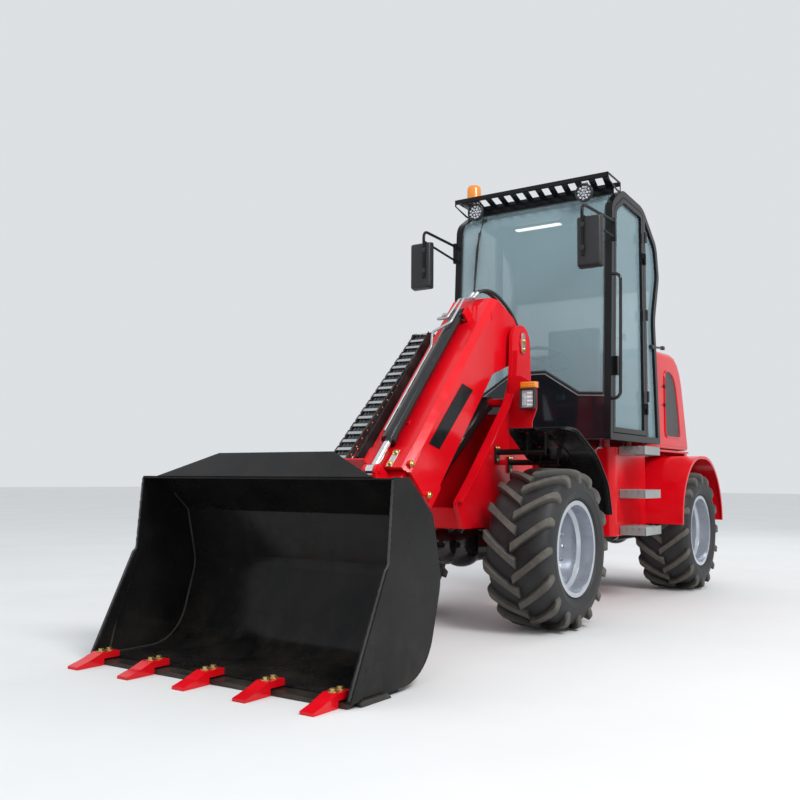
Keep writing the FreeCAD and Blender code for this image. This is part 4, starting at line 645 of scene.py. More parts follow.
def grow(treeName, build, base=None, **inputs):
    # Runs a tree over a base mesh and gives back a plain mesh
    tree = trees[treeName]
    shape = linkUp("shapeHeld", shapeOf(build))
    host = linkUp("treeHost", base or bpy.data.meshes.new("hostMesh"))
    modifier = host.modifiers.new("grow", "NODES")
    modifier.node_group = tree
    values = dict(inputs, Shape=shape)
    for item in tree.interface.items_tree:
        if item.in_out == "INPUT" and item.name in values:
            modifier[item.identifier] = values[item.name]
    bpy.context.view_layer.update()
    ready = host.evaluated_get(bpy.context.evaluated_depsgraph_get())
    made = bpy.data.meshes.new_from_object(ready)
    host.modifiers.remove(modifier)
    bpy.data.objects.remove(host)
    bpy.data.objects.remove(shape)
    return made


def shapeOf(build):
    bm = bmesh.new()
    build(bm)
    return meshOf(bm)


def markMesh(marks):
    # Points with a facing and a size
    mesh = bpy.data.meshes.new("marks")
    mesh.from_pydata([tuple(m[0]) for m in marks], [], [])
    for label, kind in (("facing", "FLOAT_VECTOR"), ("size", "FLOAT")):
        mesh.attributes.new(label, kind, "POINT")
    for i, mark in enumerate(marks):
        mesh.attributes["facing"].data[i].vector = mark[1]
        mesh.attributes["size"].data[i].value = mark[2]
    return mesh


def routeMesh(points):
    mesh = bpy.data.meshes.new("route")
    mesh.from_pydata([tuple(p) for p in points], [(i, i + 1) for i in range(len(points) - 1)], [])
    return mesh


# A hexagon bolt on a washer, one unit across its corners, foot at the origin
bolt = {"washer": ((0.78, 0.0), (0.78, 0.12), (0.0, 0.12)), "head": ((0.5, 0.10), (0.5, 0.42), (0.42, 0.5), (0.0, 0.5))}


def boltShape(bm):
    lathe(bm, bolt["washer"], (0, 0, 0), up, 16)
    lathe(bm, bolt["head"], (0, 0, 0), up, 6)


def bolts(name, marks, body):
    return settle(name, grow("onMarks", boltShape, markMesh(marks)), "yellowZinc", body, 25.0)


# Tyres
tyre = {
    "lugs": 16, "lead": 3.3, "segments": 96, "chamfer": 0.0055, "foot": 0.68, "shoulderDust": 0.55,
    # Half section of the carcass from the crown to the bead: (from the middle, radius)
    "half": ((0.0, 0.4320), (0.09, 0.4315), (0.140, 0.4280), (0.165, 0.4200), (0.183, 0.4040), (0.193, 0.3830),
             (0.1990, 0.3600), (0.2000, 0.3400), (0.2014, 0.3380), (0.2014, 0.3340), (0.1995, 0.3320),
             (0.1965, 0.3120), (0.1905, 0.2960), (0.1915, 0.2945), (0.1905, 0.2915), (0.1875, 0.2900),
             (0.1790, 0.2815), (0.1745, 0.2785), (0.1712, 0.2765), (0.1708, 0.2640), (0.1650, 0.2586)),
    # One lug: (top's place, top's radius, base's place, base's radius, sweep in degrees, width)
    "lug": ((-0.012, 0.4625, -0.012, 0.424, 0.0, 0.052), (0.040, 0.4625, 0.040, 0.424, 4.6, 0.048),
            (0.095, 0.4615, 0.095, 0.422, 9.8, 0.047), (0.145, 0.4570, 0.140, 0.416, 14.8, 0.050),
            (0.178, 0.4500, 0.165, 0.408, 18.0, 0.052), (0.194, 0.4400, 0.175, 0.398, 19.6, 0.052),
            (0.2005, 0.4240, 0.180, 0.390, 20.4, 0.050), (0.2030, 0.3980, 0.185, 0.378, 20.8, 0.043),
            (0.2015, 0.3740, 0.189, 0.364, 21.0, 0.034)),
}


def lugShape(bm, side):
    dust = bm.verts.layers.float.new("dust")
    chamfer, foot, worn = tyre["chamfer"], tyre["foot"], tyre["shoulderDust"]
    rings = []
    for topY, topR, baseY, baseR, sweep, width in tyre["lug"]:
        down = Vector((baseY - topY, baseR - topR)).normalized()
        base, top = (baseY, baseR), (topY, topR)
        edge = (topY + down.x * chamfer, topR + down.y * chamfer)
        flat = 0.5 - chamfer / width
        ring = []
        for share, (y, radius), dusty in ((-foot, base, 0.0), (-0.5, edge, worn), (-flat, top, 1.0),
                                          (flat, top, 1.0), (0.5, edge, worn), (foot, base, 0.0)):
            angle = math.radians(sweep) + share * width / topR
            ring.append(bm.verts.new((radius * math.cos(angle), side * y, radius * math.sin(angle))))
            ring[-1][dust] = dusty
        rings.append(ring)
    skin(bm, rings)


def carcassShape(bm):
    half = tyre["half"]
    profile = [(r, y) for y, r in half[::-1]] + [(r, -y) for y, r in half[1:]]
    lathe(bm, profile, (0, 0, 0), axle, tyre["segments"], closed=True)


def lugMeshes():
    made = []
    for side in (1, -1):
        turn = tyre["lead"] + (0.0 if side > 0 else 180.0 / tyre["lugs"])
        made.append(grow("aroundAxle", lambda bm: lugShape(bm, side), Count=tyre["lugs"],
                         Turn=-math.radians(turn)))
    return made


wheel = {
    "nuts": 10, "nutPlace": (0.123, 0.018, 0), "nutSize": 0.030,
    # Profiles as (radius, along the axle); the nut's and stud's are in shares of the nut's size, and metres
    "nut": ((0.78, 0.0), (0.78, 0.003), (0.5, 0.0045), (0.5, 0.020), (0.40, 0.024), (0.3, 0.024)),
    "stud": ((0.29, 0.02), (0.29, 0.034), (0.2, 0.037), (0.0, 0.037)),
    "cap": ((0.071, 0.050), (0.071, 0.058), (0.062, 0.063), (0.040, 0.0635), (0.038, 0.070), (0.020, 0.073),
            (0.0, 0.073)), "capPlace": (0, -0.010, 0),
    "valve": ((0.006, 0.0), (0.006, 0.02), (0.0045, 0.022), (0.0045, 0.040), (0.0, 0.041)),
    "valvePlace": (0.05, 0.004, -0.205), "guard": ((0.028, -0.008), (0.028, 0.052), (0.072, 0.052), (0.072, -0.008)),
    "guardZ": -0.215, "guardRadius": 0.0045, "guardBend": 0.014,
}


def nutShape(bm):
    for profile, sides in ((wheel["nut"], 6), (wheel["stud"], 10)):
        lathe(bm, [(wheel["nutSize"] * share, along) for share, along in profile], wheel["nutPlace"], axle, sides)


def capShape(bm):
    lathe(bm, wheel["cap"], wheel["capPlace"], axle, 36)


def valveShape(bm):
    # A valve low on the rim under a bent guard
    lathe(bm, wheel["valve"], wheel["valvePlace"], axle, 12)
    pipe(bm, [(x, y, wheel["guardZ"]) for x, y in wheel["guard"]], wheel["guardRadius"], 8, wheel["guardBend"])


def placeMesh(mesh, mirrored, spot):
    moved = mesh.copy()
    if mirrored:
        moved.transform(Matrix.Scale(-1, 4, axle))
        moved.flip_normals()
    moved.transform(Matrix.Translation(spot))
    return moved


def makeWheels():
    outLugs, inLugs = lugMeshes()
    nuts = grow("aroundAxle", nutShape, Count=wheel["nuts"], Turn=0.0)
    # Name, mesh, finish and the angle that stays sharp
    parts = (("tyre%s", shapeOf(carcassShape), "tyreRubber", 32.0), ("lugs%sOut", outLugs, "tyreRubber", 40.0),
             ("lugs%sIn", inLugs, "tyreRubber", 40.0), ("nuts%s", nuts, "zincSteel", 25.0),
             ("hubCap%s", shapeOf(capShape), "rimSilver", 32.0), ("valve%s", shapeOf(valveShape), "yellowZinc", 32.0))
    for end in ("front", "rear"):
        for side, sign in (("left", 1), ("right", -1)):
            spot = Vector((places[end + "AxleX"], sign * places["wheelY"], places["axleZ"]))
            for name, mesh, finish, angle in parts:
                made = settle(name % (end.capitalize() + side.capitalize()), placeMesh(mesh, sign < 0, spot), finish,
                              end + "_" + side + "_wheel", angle)
                if name == "tyre%s":
                    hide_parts(end + "_tyre_" + side)


makeWheels()
print("wheels made")

# Cable chain
chain = {
    "outer": -0.302, "inner": -0.184, "height": 0.042, "band": 0.009, "pitch": 0.066, "bend": 0.039,
    "route": ((1.400, 0.271), (0.269, 0.271), (0.267, 0.356), (1.440, 0.436)), "hoseStart": (1.34, 0.271),
    "hoses": ((-0.276, 0.010), (-0.252, 0.010), (-0.231, 0.008), (-0.210, 0.010)), "hoseBend": 0.041,
    "pin": ((0.0065, 0.0), (0.0065, 0.002), (0.004, 0.0035), (0.0, 0.0035)), "edge": 0.0012,
    "rung": (0.011, 0.005, 0.004, 0.008),
}


def linkShape(bm):
    # Two side plates with round ends
    high = chain["height"] / 2 - 0.001
    reach = chain["pitch"] / 2
    outline = []
    for start, centre in ((-90, reach - 0.012), (90, -reach + 0.012)):
        for k in range(7):
            angle = math.radians(start + 180 * k / 6)
            outline.append((centre + high * 0.75 * math.cos(angle), high * math.sin(angle)))
    for low in (chain["outer"], chain["inner"] - chain["band"]):
        prism(bm, outline, "Y", low, low + chain["band"], chain["edge"], 1)


def rungShape(bm):
    high = chain["height"] / 2
    near, far = chain["outer"] + chain["band"] - 0.001, chain["inner"] - chain["band"] + 0.001
    half, thick, below, above = chain["rung"]
    for z in (-high + below, high - above):
        box(bm, (-half, near, z), (half, far, z + thick), chain["edge"], 1)


def pinShape(bm):
    for y, way in ((chain["inner"], 1), (chain["outer"], -1)):
        lathe(bm, chain["pin"], (chain["pitch"] / 2, y, 0), (0, way, 0), 10)


def makeChain():
    for name, shape, finish in (("chainLinks", linkShape, "chainPlastic"), ("chainRungs", rungShape, "zincSteel"),
                                ("chainPins", pinShape, "yellowZinc")):
        route = routeMesh([boomSpot(t, 0, n) for t, n in chain["route"]])
        made = settle(name, grow("alongRoute", shape, route, Spacing=chain["pitch"], Bend=chain["bend"]), finish,
                      "boom_body", 30.0)
        if shape == linkShape:
            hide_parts("cable_chain")
    # Hoses that lie in the chain and leave it at both ends
    bm = bmesh.new()
    for y, radius in chain["hoses"]:
        line = (chain["hoseStart"],) + chain["route"][1:]
        pipe(bm, [boomSpot(t, y, n) for t, n in line], radius, 10, chain["hoseBend"])
    piece("chainHoses", bm, "hoseRubber", "boom_body")


makeChain()
print("cable chain made")

# Head hoses: start across the boom, side at the lower end and length of each; T and N of the first two
# points; then X and Z of the last three, from the boom's pivot
headHoses = {
    "radius": 0.011, "each": ((0.004, 0.086, 0.927), (0.034, 0.122, 0.93)), "pipeEnd": (-0.006, 0.402),
    "crest": (-0.130, 0.410), "down": ((-0.09, 0.215), (-0.215, 0.01), (-0.195, -0.26)),
    "sleeve": ((0.0, 0.0), (0.0125, 0.0), (0.0125, 0.014), (0.0135, 0.016), (0.0135, 0.05), (0.0118, 0.053)),
    "sleeveAt": (0.006, 0.402), "lowSleeve": ((0.0, 0.0), (0.0135, 0.0), (0.0135, 0.034), (0.0118, 0.037)),
    "lowAt": (-0.195, -0.262), "lowWay": (-0.06, 0, 1),
}


def sweptHose(name, route):
    curve = bpy.data.curves.new(name, "CURVE")
    curve.dimensions = "3D"
    curve.bevel_depth = headHoses["radius"]
    curve.bevel_resolution = 5
    curve.resolution_u = 24
    curve.use_fill_caps = True
    spline = curve.splines.new("NURBS")
    spline.points.add(len(route) - 1)
    for point, spot in zip(spline.points, route):
        point.co = (*spot, 1)
    spline.order_u = 3
    spline.use_endpoint_u = True
    curve.materials.append(finishes["hoseRubber"])
    return linkUp(name, curve)


def makeHeadHoses():
    x0, z0 = places["boomPivot"]
    lowX, lowZ = headHoses["lowAt"]
    made = []
    bm = bmesh.new()
    for start, side, length in headHoses["each"]:
        first = boomSpot(headHoses["pipeEnd"][0], start, headHoses["pipeEnd"][1])
        second = boomSpot(headHoses["crest"][0], (start + side) / 2, headHoses["crest"][1])
        route = [first, second] + [Vector((x0 + x, side, z0 + z)) for x, z in headHoses["down"]]
        hose = sweptHose("headHose%d" % len(made), route)
        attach(hose, "boom_body")
        made.append(hose)
        # Crimped sleeves where the hose takes over from its pipe, and at its lower end
        way = boomWay(headHoses["crest"][0] - headHoses["pipeEnd"][0], (side - start) / 2, 0.008)
        lathe(bm, headHoses["sleeve"], boomSpot(headHoses["sleeveAt"][0], start, headHoses["sleeveAt"][1]), way, 16)
        lathe(bm, headHoses["lowSleeve"], (x0 + lowX, side, z0 + lowZ), headHoses["lowWay"], 16)
    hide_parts("boom_hoses")
    piece("hoseSleeves", bm, "zincSteel", "boom_body")


makeHeadHoses()
print("head hoses made")


# Places found on the CAD
def strike(node, start, way):
    # Where a ray first meets a node
    hit, place = cad[node].ray_cast(Vector(start), Vector(way).normalized())[:2]
    if not hit:
        raise RuntimeError("a ray misses " + node)
    return place


def boomTurn():
    x, z = places["boomPivot"]
    return Matrix.Translation((x, 0, z)) @ Matrix.Rotation(places["boomAngle"], 4, "Y")


ground = {"half": 60, "deep": 0.02, "light": (0.66, 0.66, 0.655), "dark": (0.61, 0.61, 0.605)}


def makeFloor():
    tree, shader = newFinish("paleFloor")
    patch = patches(tree, 0.9, 6.0, 0.3, 0.8)
    fill(tree, shader, Base_Color=tint(tree, patch, ground["light"], ground["dark"]),
         Roughness=between(tree, patch, 0.75, 0.9))
    relief(tree, shader, [(speckle(tree, 60.0, 4.0), 0.15, 0.002)])
    half = ground["half"]
    mesh = shapeOf(lambda bm: box(bm, (-half, -half, -ground["deep"]), (half, half, 0.0)))
    mesh.materials.append(finishes["paleFloor"])
    linkUp("floorPlane", mesh)


makeFloor()

# Bucket
bucketBits = {
    "teeth": (-0.676, -0.338, 0.0, 0.338, 0.676), "boltX": (0.003, 0.047), "boltZ": 0.0572, "boltSize": 0.027,
    "inside": (2.26, 0.42), "sweep": (318, 6, 34), "bead": 0.0055, "cutterY": 0.7515, "edge": (0.030, 0.925, 60),
    "shoeY": (0.749, 0.773),
    # The shoe's outline as (X back from the lip, Z)
    "shoe": ((0.205, 0.002), (0.012, 0.002), (0.001, 0.010), (0.001, 0.018), (0.020, 0.024), (0.175, 0.024)),
}


def makeBucketBits():
    lip = places["bucketLipX"]
    marks = [(Vector((lip + x, y, bucketBits["boltZ"])), up, bucketBits["boltSize"])
             for y in bucketBits["teeth"] for x in bucketBits["boltX"]]
    bolts("toothBolts", marks, "bucket_body")
    bm = bmesh.new()
    x, z = bucketBits["inside"]
    for side in (1, -1):
        wall = strike("bucket", (x, 0, z), (0, side, 0)).y - side * 0.002
        first, step, count = bucketBits["sweep"]
        turns = [math.radians(first - step * k) for k in range(count)]
        pipe(bm, [strike("bucket", (x, wall, z), (math.cos(a), 0, math.sin(a))) for a in turns],
             bucketBits["bead"], 6)
        # A rough bead up the side cutter's front edge
        low, high, count = bucketBits["edge"]
        line = []
        for k in range(count + 1):
            start = Vector((lip + 0.6, side * bucketBits["cutterY"], low + (high - low) * k / count))
            hit, spot = cad["bucket"].ray_cast(start, -forward)[:2]
            if hit and (not line or abs(spot.x - line[-1].x) < 0.06):
                line.append(spot + Vector((0.001 * (k % 3), side * 0.0012 * (k % 2), 0)))
        pipe(bm, line, bucketBits["bead"], 6)
    piece("bucketWelds", bm, "weldGrey", "bucket_body")
    # Wear shoes outside the lower corners
    bm = bmesh.new()
    for side in (1, -1):
        prism(bm, [(lip - x, z) for x, z in bucketBits["shoe"]], "Y", *span(side, *bucketBits["shoeY"]), 0.002, 2)
    piece("wearShoes", bm, "edgeSteel", "bucket_body")


makeBucketBits()

# Boom
boomBits = {
    # Corners of the bare plate, then bolts, as (T, N)
    "plate": ((0.686, 0.282), (0.623, 0.171), (1.147, 0.204), (1.200, 0.304)),
    "welds": ((0.105, 0.319), (0.154, 0.140)),
    "bosses": ((1.398, 0.351), (1.426, 0.136)),
    "boss": ((0.0, -0.001), (0.021, -0.001), (0.0165, 0.016), (0.0, 0.016)), "bossTall": 0.016, "boltSize": 0.026,
    "strap": (1.322, 1.446, 0.038, 0.076), "strapWall": 0.005,
}


def makeBoomBits():
    turn = boomTurn()
    face = strike("boom", boomSpot(0.9, 0.5, 0.24), (0, -1, 0)).y
    bm = bmesh.new()
    prism(bm, boomBits["plate"], "Y", face + 0.0004, face + 0.0035, 0.001, 1)
    bm.transform(turn)
    piece("boomPlate", bm, "frameBlack", "boom_body")
    # Short welds on the head's left side
    bm = bmesh.new()
    for t, n in boomBits["welds"]:
        side = strike("boom", boomSpot(t, 0.5, n), (0, -1, 0)).y
        for shift in (0.0, 0.014):
            pipe(bm, [(t + shift - 0.014, side, n + 0.022), (t + shift + 0.010, side, n - 0.022)], 0.0028, 8)
    bm.transform(turn)
    piece("boomWelds", bm, "redPaint", "boom_body")
    # Set screws of the wear pads, in bosses
    bm = bmesh.new()
    marks = []
    for t, n in boomBits["bosses"]:
        spot = strike("boom", boomSpot(t, 0.5, n), (0, -1, 0))
        lathe(bm, boomBits["boss"], spot, axle, 20)
        marks.append((spot + boomBits["bossTall"] * axle, axle, boomBits["boltSize"]))
    piece("padBosses", bm, "redPaint", "boom_body")
    bolts("padBolts", marks, "boom_body")
    # Strap with two bolts by the lower end
    low, high, near, far = boomBits["strap"]
    top = turn.inverted() @ strike("boom", boomSpot((low + high) / 2, (near + far) / 2, 0.8), boomWay(0, 0, -1))
    bm = bmesh.new()
    out = top.z + boomBits["strapWall"]
    box(bm, (low, near, top.z), (high, far, out), 0.0015, 1)
    bm.transform(turn)
    piece("boomStrap", bm, "zincSteel", "boom_body")
    bolts("strapBolts", [(boomSpot(t, (near + far) / 2, out), boomWay(0, 0, 1), boomBits["boltSize"])
                         for t in (low + 0.020, high - 0.020)], "boom_body")


makeBoomBits()

# Tower: keeper plates of the pivot pin and the front fenders' brackets
tower = {
    "keeper": (0.032, 1.690, 1.800, 0.025), "keeperWall": 0.006, "brackets": ((0.385, 1.020), (0.215, 0.960)),
    "plateHalf": 0.0246, "plateLow": 0.0656, "plateHigh": 0.0356, "plateDeep": (0.011, 0.0006), "tube": 0.0178,
    "screws": ((-0.014, 0.026), (0.014, 0.026), (0.0, -0.048)),
}


def stadium(x, low, high, radius):
    line = []
    for centre, start in ((high - radius, 0), (low + radius, 180)):
        for k in range(9):
            angle = math.radians(start + 180 * k / 8)
            line.append((x + radius * math.cos(angle), centre + radius * math.sin(angle)))
    return line


def makeTowerBits():
    x, low, high, radius = tower["keeper"]
    bm = bmesh.new()
    marks = []
    for side in (1, -1):
        face = strike("front_frame", (x, side * 0.6, low + 0.02), (0, -side, 0)).y
        out = face + side * tower["keeperWall"]
        prism(bm, stadium(x, low - radius, high, radius), "Y", face, out, 0.0012, 1)
        marks += [(Vector((x, out, z)), side * axle, 0.024) for z in (low, low + 0.055)]
    piece("keeperPlates", bm, "zincSteel", "front_body")
    bolts("keeperBolts", marks, "front_body")
    bm = bmesh.new()
    marks = []
    half, (back, front) = tower["plateHalf"], tower["plateDeep"]
    for x, z in tower["brackets"]:
        for side in (1, -1):
            face = strike("front_frame", (x, side * 0.6, z - 0.05), (0, -side, 0)).y
            prism(bm, rectangle((x - half, z - tower["plateLow"]), (x + half, z + tower["plateHigh"])), "Y",
                  face - side * back, face + side * front, 0.001, 1)
            pipe(bm, [(x, face - side * 0.004, z), (x, face + side * 0.10, z)], tower["tube"], 20)
            marks += [(Vector((x + dx, face + side * front, z + dz)), side * axle, 0.014)
                      for dx, dz in tower["screws"]]
    piece("fenderBrackets", bm, "blackPaint", "front_body")
    bolts("bracketBolts", marks, "front_body")


makeTowerBits()
print("bucket, boom and tower fittings made")


# Lamps
def bezel(bm, x0, x1, low, high, wall, rounding):
    # A frame round a face that looks along X, its corners at (y, z)
    made = bmesh.new()
    rings = [[made.verts.new((x, *p)) for p in rectangle(low, high, edge)]
             for x, edge in ((x0, 0.0), (x1, 0.0), (x1, wall), (x0, wall))]
    for first, second in zip(rings, rings[1:] + rings[:1]):
        for k in range(4):
            made.faces.new((first[k], first[(k + 1) % 4], second[(k + 1) % 4], second[k]))
    bmesh.ops.recalc_face_normals(made, faces=made.faces)
    soften(made, rounding, 3)
    pour(bm, made)


def cell(bm, place, radius, depth=0.009):
    # A domed cell that looks along X
    profile = ((1.0, 0.0), (1.0, 0.35), (0.72, 0.8), (0.3, 1.0), (0.0, 1.0))
    lathe(bm, [(radius * a, depth * b) for a, b in profile], place, forward, 14)


# Depths are from the lamp's front; cells are placed from the lamp's middle and foot
headLamp = {
    "inner": 0.325, "outer": 0.425, "shellEdge": 0.004, "shell": 0.022, "bezel": 0.028, "wall": 0.010,
    "face": 0.018, "reflector": (0.338, 0.366, 0.016), "reflectorFace": 0.010, "rows": 4, "columns": 3,
    "cellY": 0.377, "cellZ": 0.026, "cellStep": (0.0155, 0.0245), "cell": 0.0072, "glass": (0.007, 0.0045, 0.009),
}


def makeHeadLamps():
    (x0, _, z0), (x1, _, z1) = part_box("head_lamps")
    shell, face, cells, glass = (bmesh.new() for _ in range(4))
    back, front = x1 - headLamp["shell"], x1 - headLamp["face"]
    for side in (1, -1):
        low, high = span(side, headLamp["inner"], headLamp["outer"])
        corners = ((low, z0), (high, z1))
        prism(shell, rectangle(*corners, headLamp["shellEdge"]), "X", back, x0, 0.010, 3, 0.10)
        bezel(shell, x1 - headLamp["bezel"], x1, *corners, headLamp["wall"], 0.0035)
        prism(face, rectangle(*corners, headLamp["wall"]), "X", back, front)
        # A smooth reflector on the inner half, rows of cells on the outer one
        near, far, edge = headLamp["reflector"]
        a, b = span(side, near, far)
        prism(face, rectangle((a, z0 + edge), (b, z1 - edge)), "X", front, x1 - headLamp["reflectorFace"],
              0.003, 2, 0.15)
        acrossStep, upStep = headLamp["cellStep"]
        for row in range(headLamp["rows"]):
            for column in range(headLamp["columns"]):
                cell(cells, (front, side * (headLamp["cellY"] + acrossStep * column),
                             z0 + headLamp["cellZ"] + upStep * row), headLamp["cell"])
        inside, outside, edge = headLamp["glass"]
        prism(glass, rectangle(*corners, edge), "X", x1 - inside, x1 - outside)
    piece("headLampShells", shell, "mouldedBlack", "front_body", "head_lamps")
    piece("headLampFaces", face, "lampFace", "front_body")
    piece("headLampCells", cells, "whiteCell", "front_body")
    piece("headLampGlass", glass, "lampGlass", "front_body")


signal = {"inner": 0.322, "foot": 0.010, "rib": 0.014, "ribTall": 0.007, "ribLow": 0.012}


def makeSignals():
    (x0, _, z0), (x1, y1, z1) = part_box("turn_signals")
    lens, foot = bmesh.new(), bmesh.new()
    rib = signal["rib"]
    for side in (1, -1):
        low, high = span(side, signal["inner"], y1)
        outline = rectangle((low, z0 + 0.001), (high, z1))
        prism(lens, outline, "X", x0 + signal["foot"], x1 - 0.002, 0.006, 3, 0.08)
        # Long cells inside the lens show as ribs on its face
        for k in range(2):
            z = z0 + signal["ribLow"] + rib * k
            prism(lens, rectangle((low + rib, z), (high - rib, z + signal["ribTall"])), "X", x1 - 0.006, x1, 0.002, 2)
        prism(foot, outline, "X", x0, x0 + signal["foot"], 0.002, 2)
    piece("signalLenses", lens, "amberLens", "front_body", "turn_signals")
    piece("signalFeet", foot, "mouldedBlack", "front_body")


workLamp = {
    "spread": 1.28, "half": 0.05, "rings": ((1, 0.0), (6, 0.022), (11, 0.042)), "cell": 0.0092,
    "stayX": (0.012, 0.014),
    # Profiles: radius and depth from the back, then radius and depth from the front
    "back": ((0.0, 0.0), (0.030, 0.0), (0.034, 0.004), (0.034, 0.010), (0.040, 0.012), (0.040, 0.016),
             (0.036, 0.018), (0.043, 0.022), (0.0495, 0.026)),
    "front": ((0.0495, 0.004), (0.047, 0.0), (0.044, 0.002), (0.0435, 0.014), (0.0, 0.014)),
    "glass": ((0.0555, 0.0), (0.0555, 0.002), (0.0, 0.0025)), "glassAt": 0.0045, "cellAt": 0.0145,
    "stay": (0.014, 0.002, 0.050), "pin": ((0.0055, 0.0), (0.0055, 0.046), (0.0, 0.046)),
    "pinPlace": (0.027, -0.023, 0.069),
}


def makeWorkLamps():
    (x0, _, z0), (x1, y1, z1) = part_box("work_lamps")
    z = z0 + workLamp["half"]
    deep = x1 - x0
    shell, cells, glass, stay = (bmesh.new() for _ in range(4))
    profile = workLamp["back"] + tuple((radius, deep - x) for radius, x in workLamp["front"])
    rear, near = workLamp["stayX"]
    apart, thick, foot = workLamp["stay"]
    for side in (1, -1):
        place = Vector((x0, side * (y1 - workLamp["half"]), z))
        lathe(shell, [(radius * workLamp["spread"], x) for radius, x in profile], place, forward, 40)
        for count, radius in workLamp["rings"]:
            for k in range(count):
                angle = 2 * math.pi * k / count
                cell(cells, place + Vector((deep - workLamp["cellAt"], radius * math.cos(angle),
                                            radius * math.sin(angle))), workLamp["cell"])
        lathe(glass, workLamp["glass"], place + Vector((deep - workLamp["glassAt"], 0, 0)), forward, 36)
        for way in (1, -1):
            y = place.y + way * apart
            box(stay, (x0 + rear, y - thick, z + foot), (x1 - near, y + thick, z1), 0.0008, 1)
        lathe(stay, workLamp["pin"], place + Vector(workLamp["pinPlace"]), axle, 6)
    piece("workLampShells", shell, "mouldedBlack", "rear_body", "work_lamps")
    piece("workLampCells", cells, "lampFace", "rear_body")
    piece("workLampGlass", glass, "lampGlass", "rear_body")
    piece("workLampStays", stay, "zincSteel", "rear_body")


# Profiles of the beacon: in metres, and the dome's top as a share of its height
beacon = {
    "foot": ((0.0, 0.0), (0.056, 0.0), (0.057, 0.003), (0.057, 0.016), (0.048, 0.022), (0.0, 0.022)),
    "rim": ((0.046, 0.018), (0.0560, 0.024), (0.0565, 0.034), (0.0545, 0.037)),
    "dome": ((0.0540, 0.74), (0.0515, 0.88), (0.043, 0.96), (0.024, 0.992), (0.010, 0.998), (0.0, 1.0)),
}


def makeBeacon():
    low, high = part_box("beacon")
    place = ((low[0] + high[0]) / 2, (low[1] + high[1]) / 2, low[2])
    dome = beacon["rim"] + tuple((radius, (high[2] - low[2]) * share) for radius, share in beacon["dome"])
    for name, profile, finish, *replaced in (("beaconFoot", beacon["foot"], "mouldedBlack", "beacon"),
                                             ("beaconDome", dome, "amberLens")):
        bm = bmesh.new()
        lathe(bm, profile, place, up, 40)
        piece(name, bm, finish, "rear_body", *replaced)


tailLamp = {"wide": 0.07, "foot": 0.007, "lens": 0.008, "split": 0.62, "edge": 0.005}


def makeTailLamps():
    (x0, _, z0), (x1, y1, z1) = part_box("tail_lamps")
    red, amber, foot = (bmesh.new() for _ in range(3))
    edge = tailLamp["edge"]
    middle = z0 + tailLamp["split"] * (z1 - z0)
    for side in (1, -1):
        low, high = span(side, y1 - tailLamp["wide"], y1)
        prism(foot, rectangle((low, z0), (high, z1)), "X", x1, x0 + tailLamp["foot"], 0.003, 2)
        for bm, bottom, top in ((red, z0 + edge, middle - 0.001), (amber, middle + 0.001, z1 - edge)):
            prism(bm, rectangle((low + edge, bottom), (high - edge, top)), "X", x0 + tailLamp["lens"], x0, 0.003, 3)
    piece("tailLampFeet", foot, "mouldedBlack", "rear_body", "tail_lamps")
    piece("tailLampRed", red, "redLens", "rear_body")
    piece("tailLampAmber", amber, "amberLens", "rear_body")


makeHeadLamps()
makeSignals()
makeWorkLamps()
makeBeacon()
makeTailLamps()
print("lamps made")

# Mirrors
mirror = {
    "start": -0.560, "out": -0.070, "inward": -0.016, "armZ": 2.615, "stayZ": 2.505, "stayEnd": 2.545,
    "endZ": 2.280, "wall": 0.6173, "foot": (0.017, 0.024, 2.482, 2.638), "armRadius": 0.0105, "stayRadius": 0.0085,
    "armBend": 0.055, "headX": (-0.137, -0.077), "headY": (0.552, 0.726), "headZ": (2.202, 2.548), "edge": 0.014,
    "glass": (0.004, -0.001), "clamps": (2.330, 2.480), "clamp": (0.004, 0.012, 0.013, 0.016),
}


def makeMirrors():
    arms, heads, glass, clamps = (bmesh.new() for _ in range(4))
    wall, armZ, x0 = mirror["wall"], mirror["armZ"], mirror["start"]
    footX, footY, footLow, footHigh = mirror["foot"]
    back, front = mirror["headX"]
    z0, z1 = mirror["headZ"]
    deep, reach, wide, tall = mirror["clamp"]
    for side in (1, -1):
        start = (x0, side * (wall + footY / 2))
        out = (mirror["out"], side * (wall + mirror["inward"]))
        pipe(arms, [(*start, armZ), (*out, armZ + 0.005), (*out, mirror["endZ"])], mirror["armRadius"], 14,
             mirror["armBend"])
        pipe(arms, [(*start, mirror["stayZ"]), (*out, mirror["stayEnd"])], mirror["stayRadius"], 14)
        low, high = span(side, wall, wall + footY)
        box(arms, (x0 - footX, low, footLow), (x0 + footX, high, footHigh), 0.004, 2)
        low, high = span(side, *mirror["headY"])
        prism(heads, rectangle((low, z0), (high, z1)), "X", back, front, 0.020, 4, 0.07)
        prism(glass, rectangle((low, z0), (high, z1), mirror["edge"]), "X", back + mirror["glass"][0],
              back + mirror["glass"][1], 0.0012, 1)
        for z in mirror["clamps"]:
            box(clamps, (front - deep, out[1] - wide, z - tall), (mirror["out"] + reach, out[1] + wide, z + tall),
                0.003, 2)
    piece("mirrorArms", arms, "frameBlack", "rear_body", "mirrors")
    piece("mirrorHeads", heads, "mouldedBlack", "rear_body")
    piece("mirrorGlass", glass, "polishedChrome", "rear_body")
    piece("mirrorClamps", clamps, "mouldedBlack", "rear_body")


makeMirrors()

# Steps with toothed bars
stepBits = {"tops": (1.10, 0.79, 0.53), "deep": 0.062, "tooth": 0.033, "rise": 0.007, "wall": 0.004,
            "bars": (0.0, 0.25, 0.5, 0.75, 1.0)}


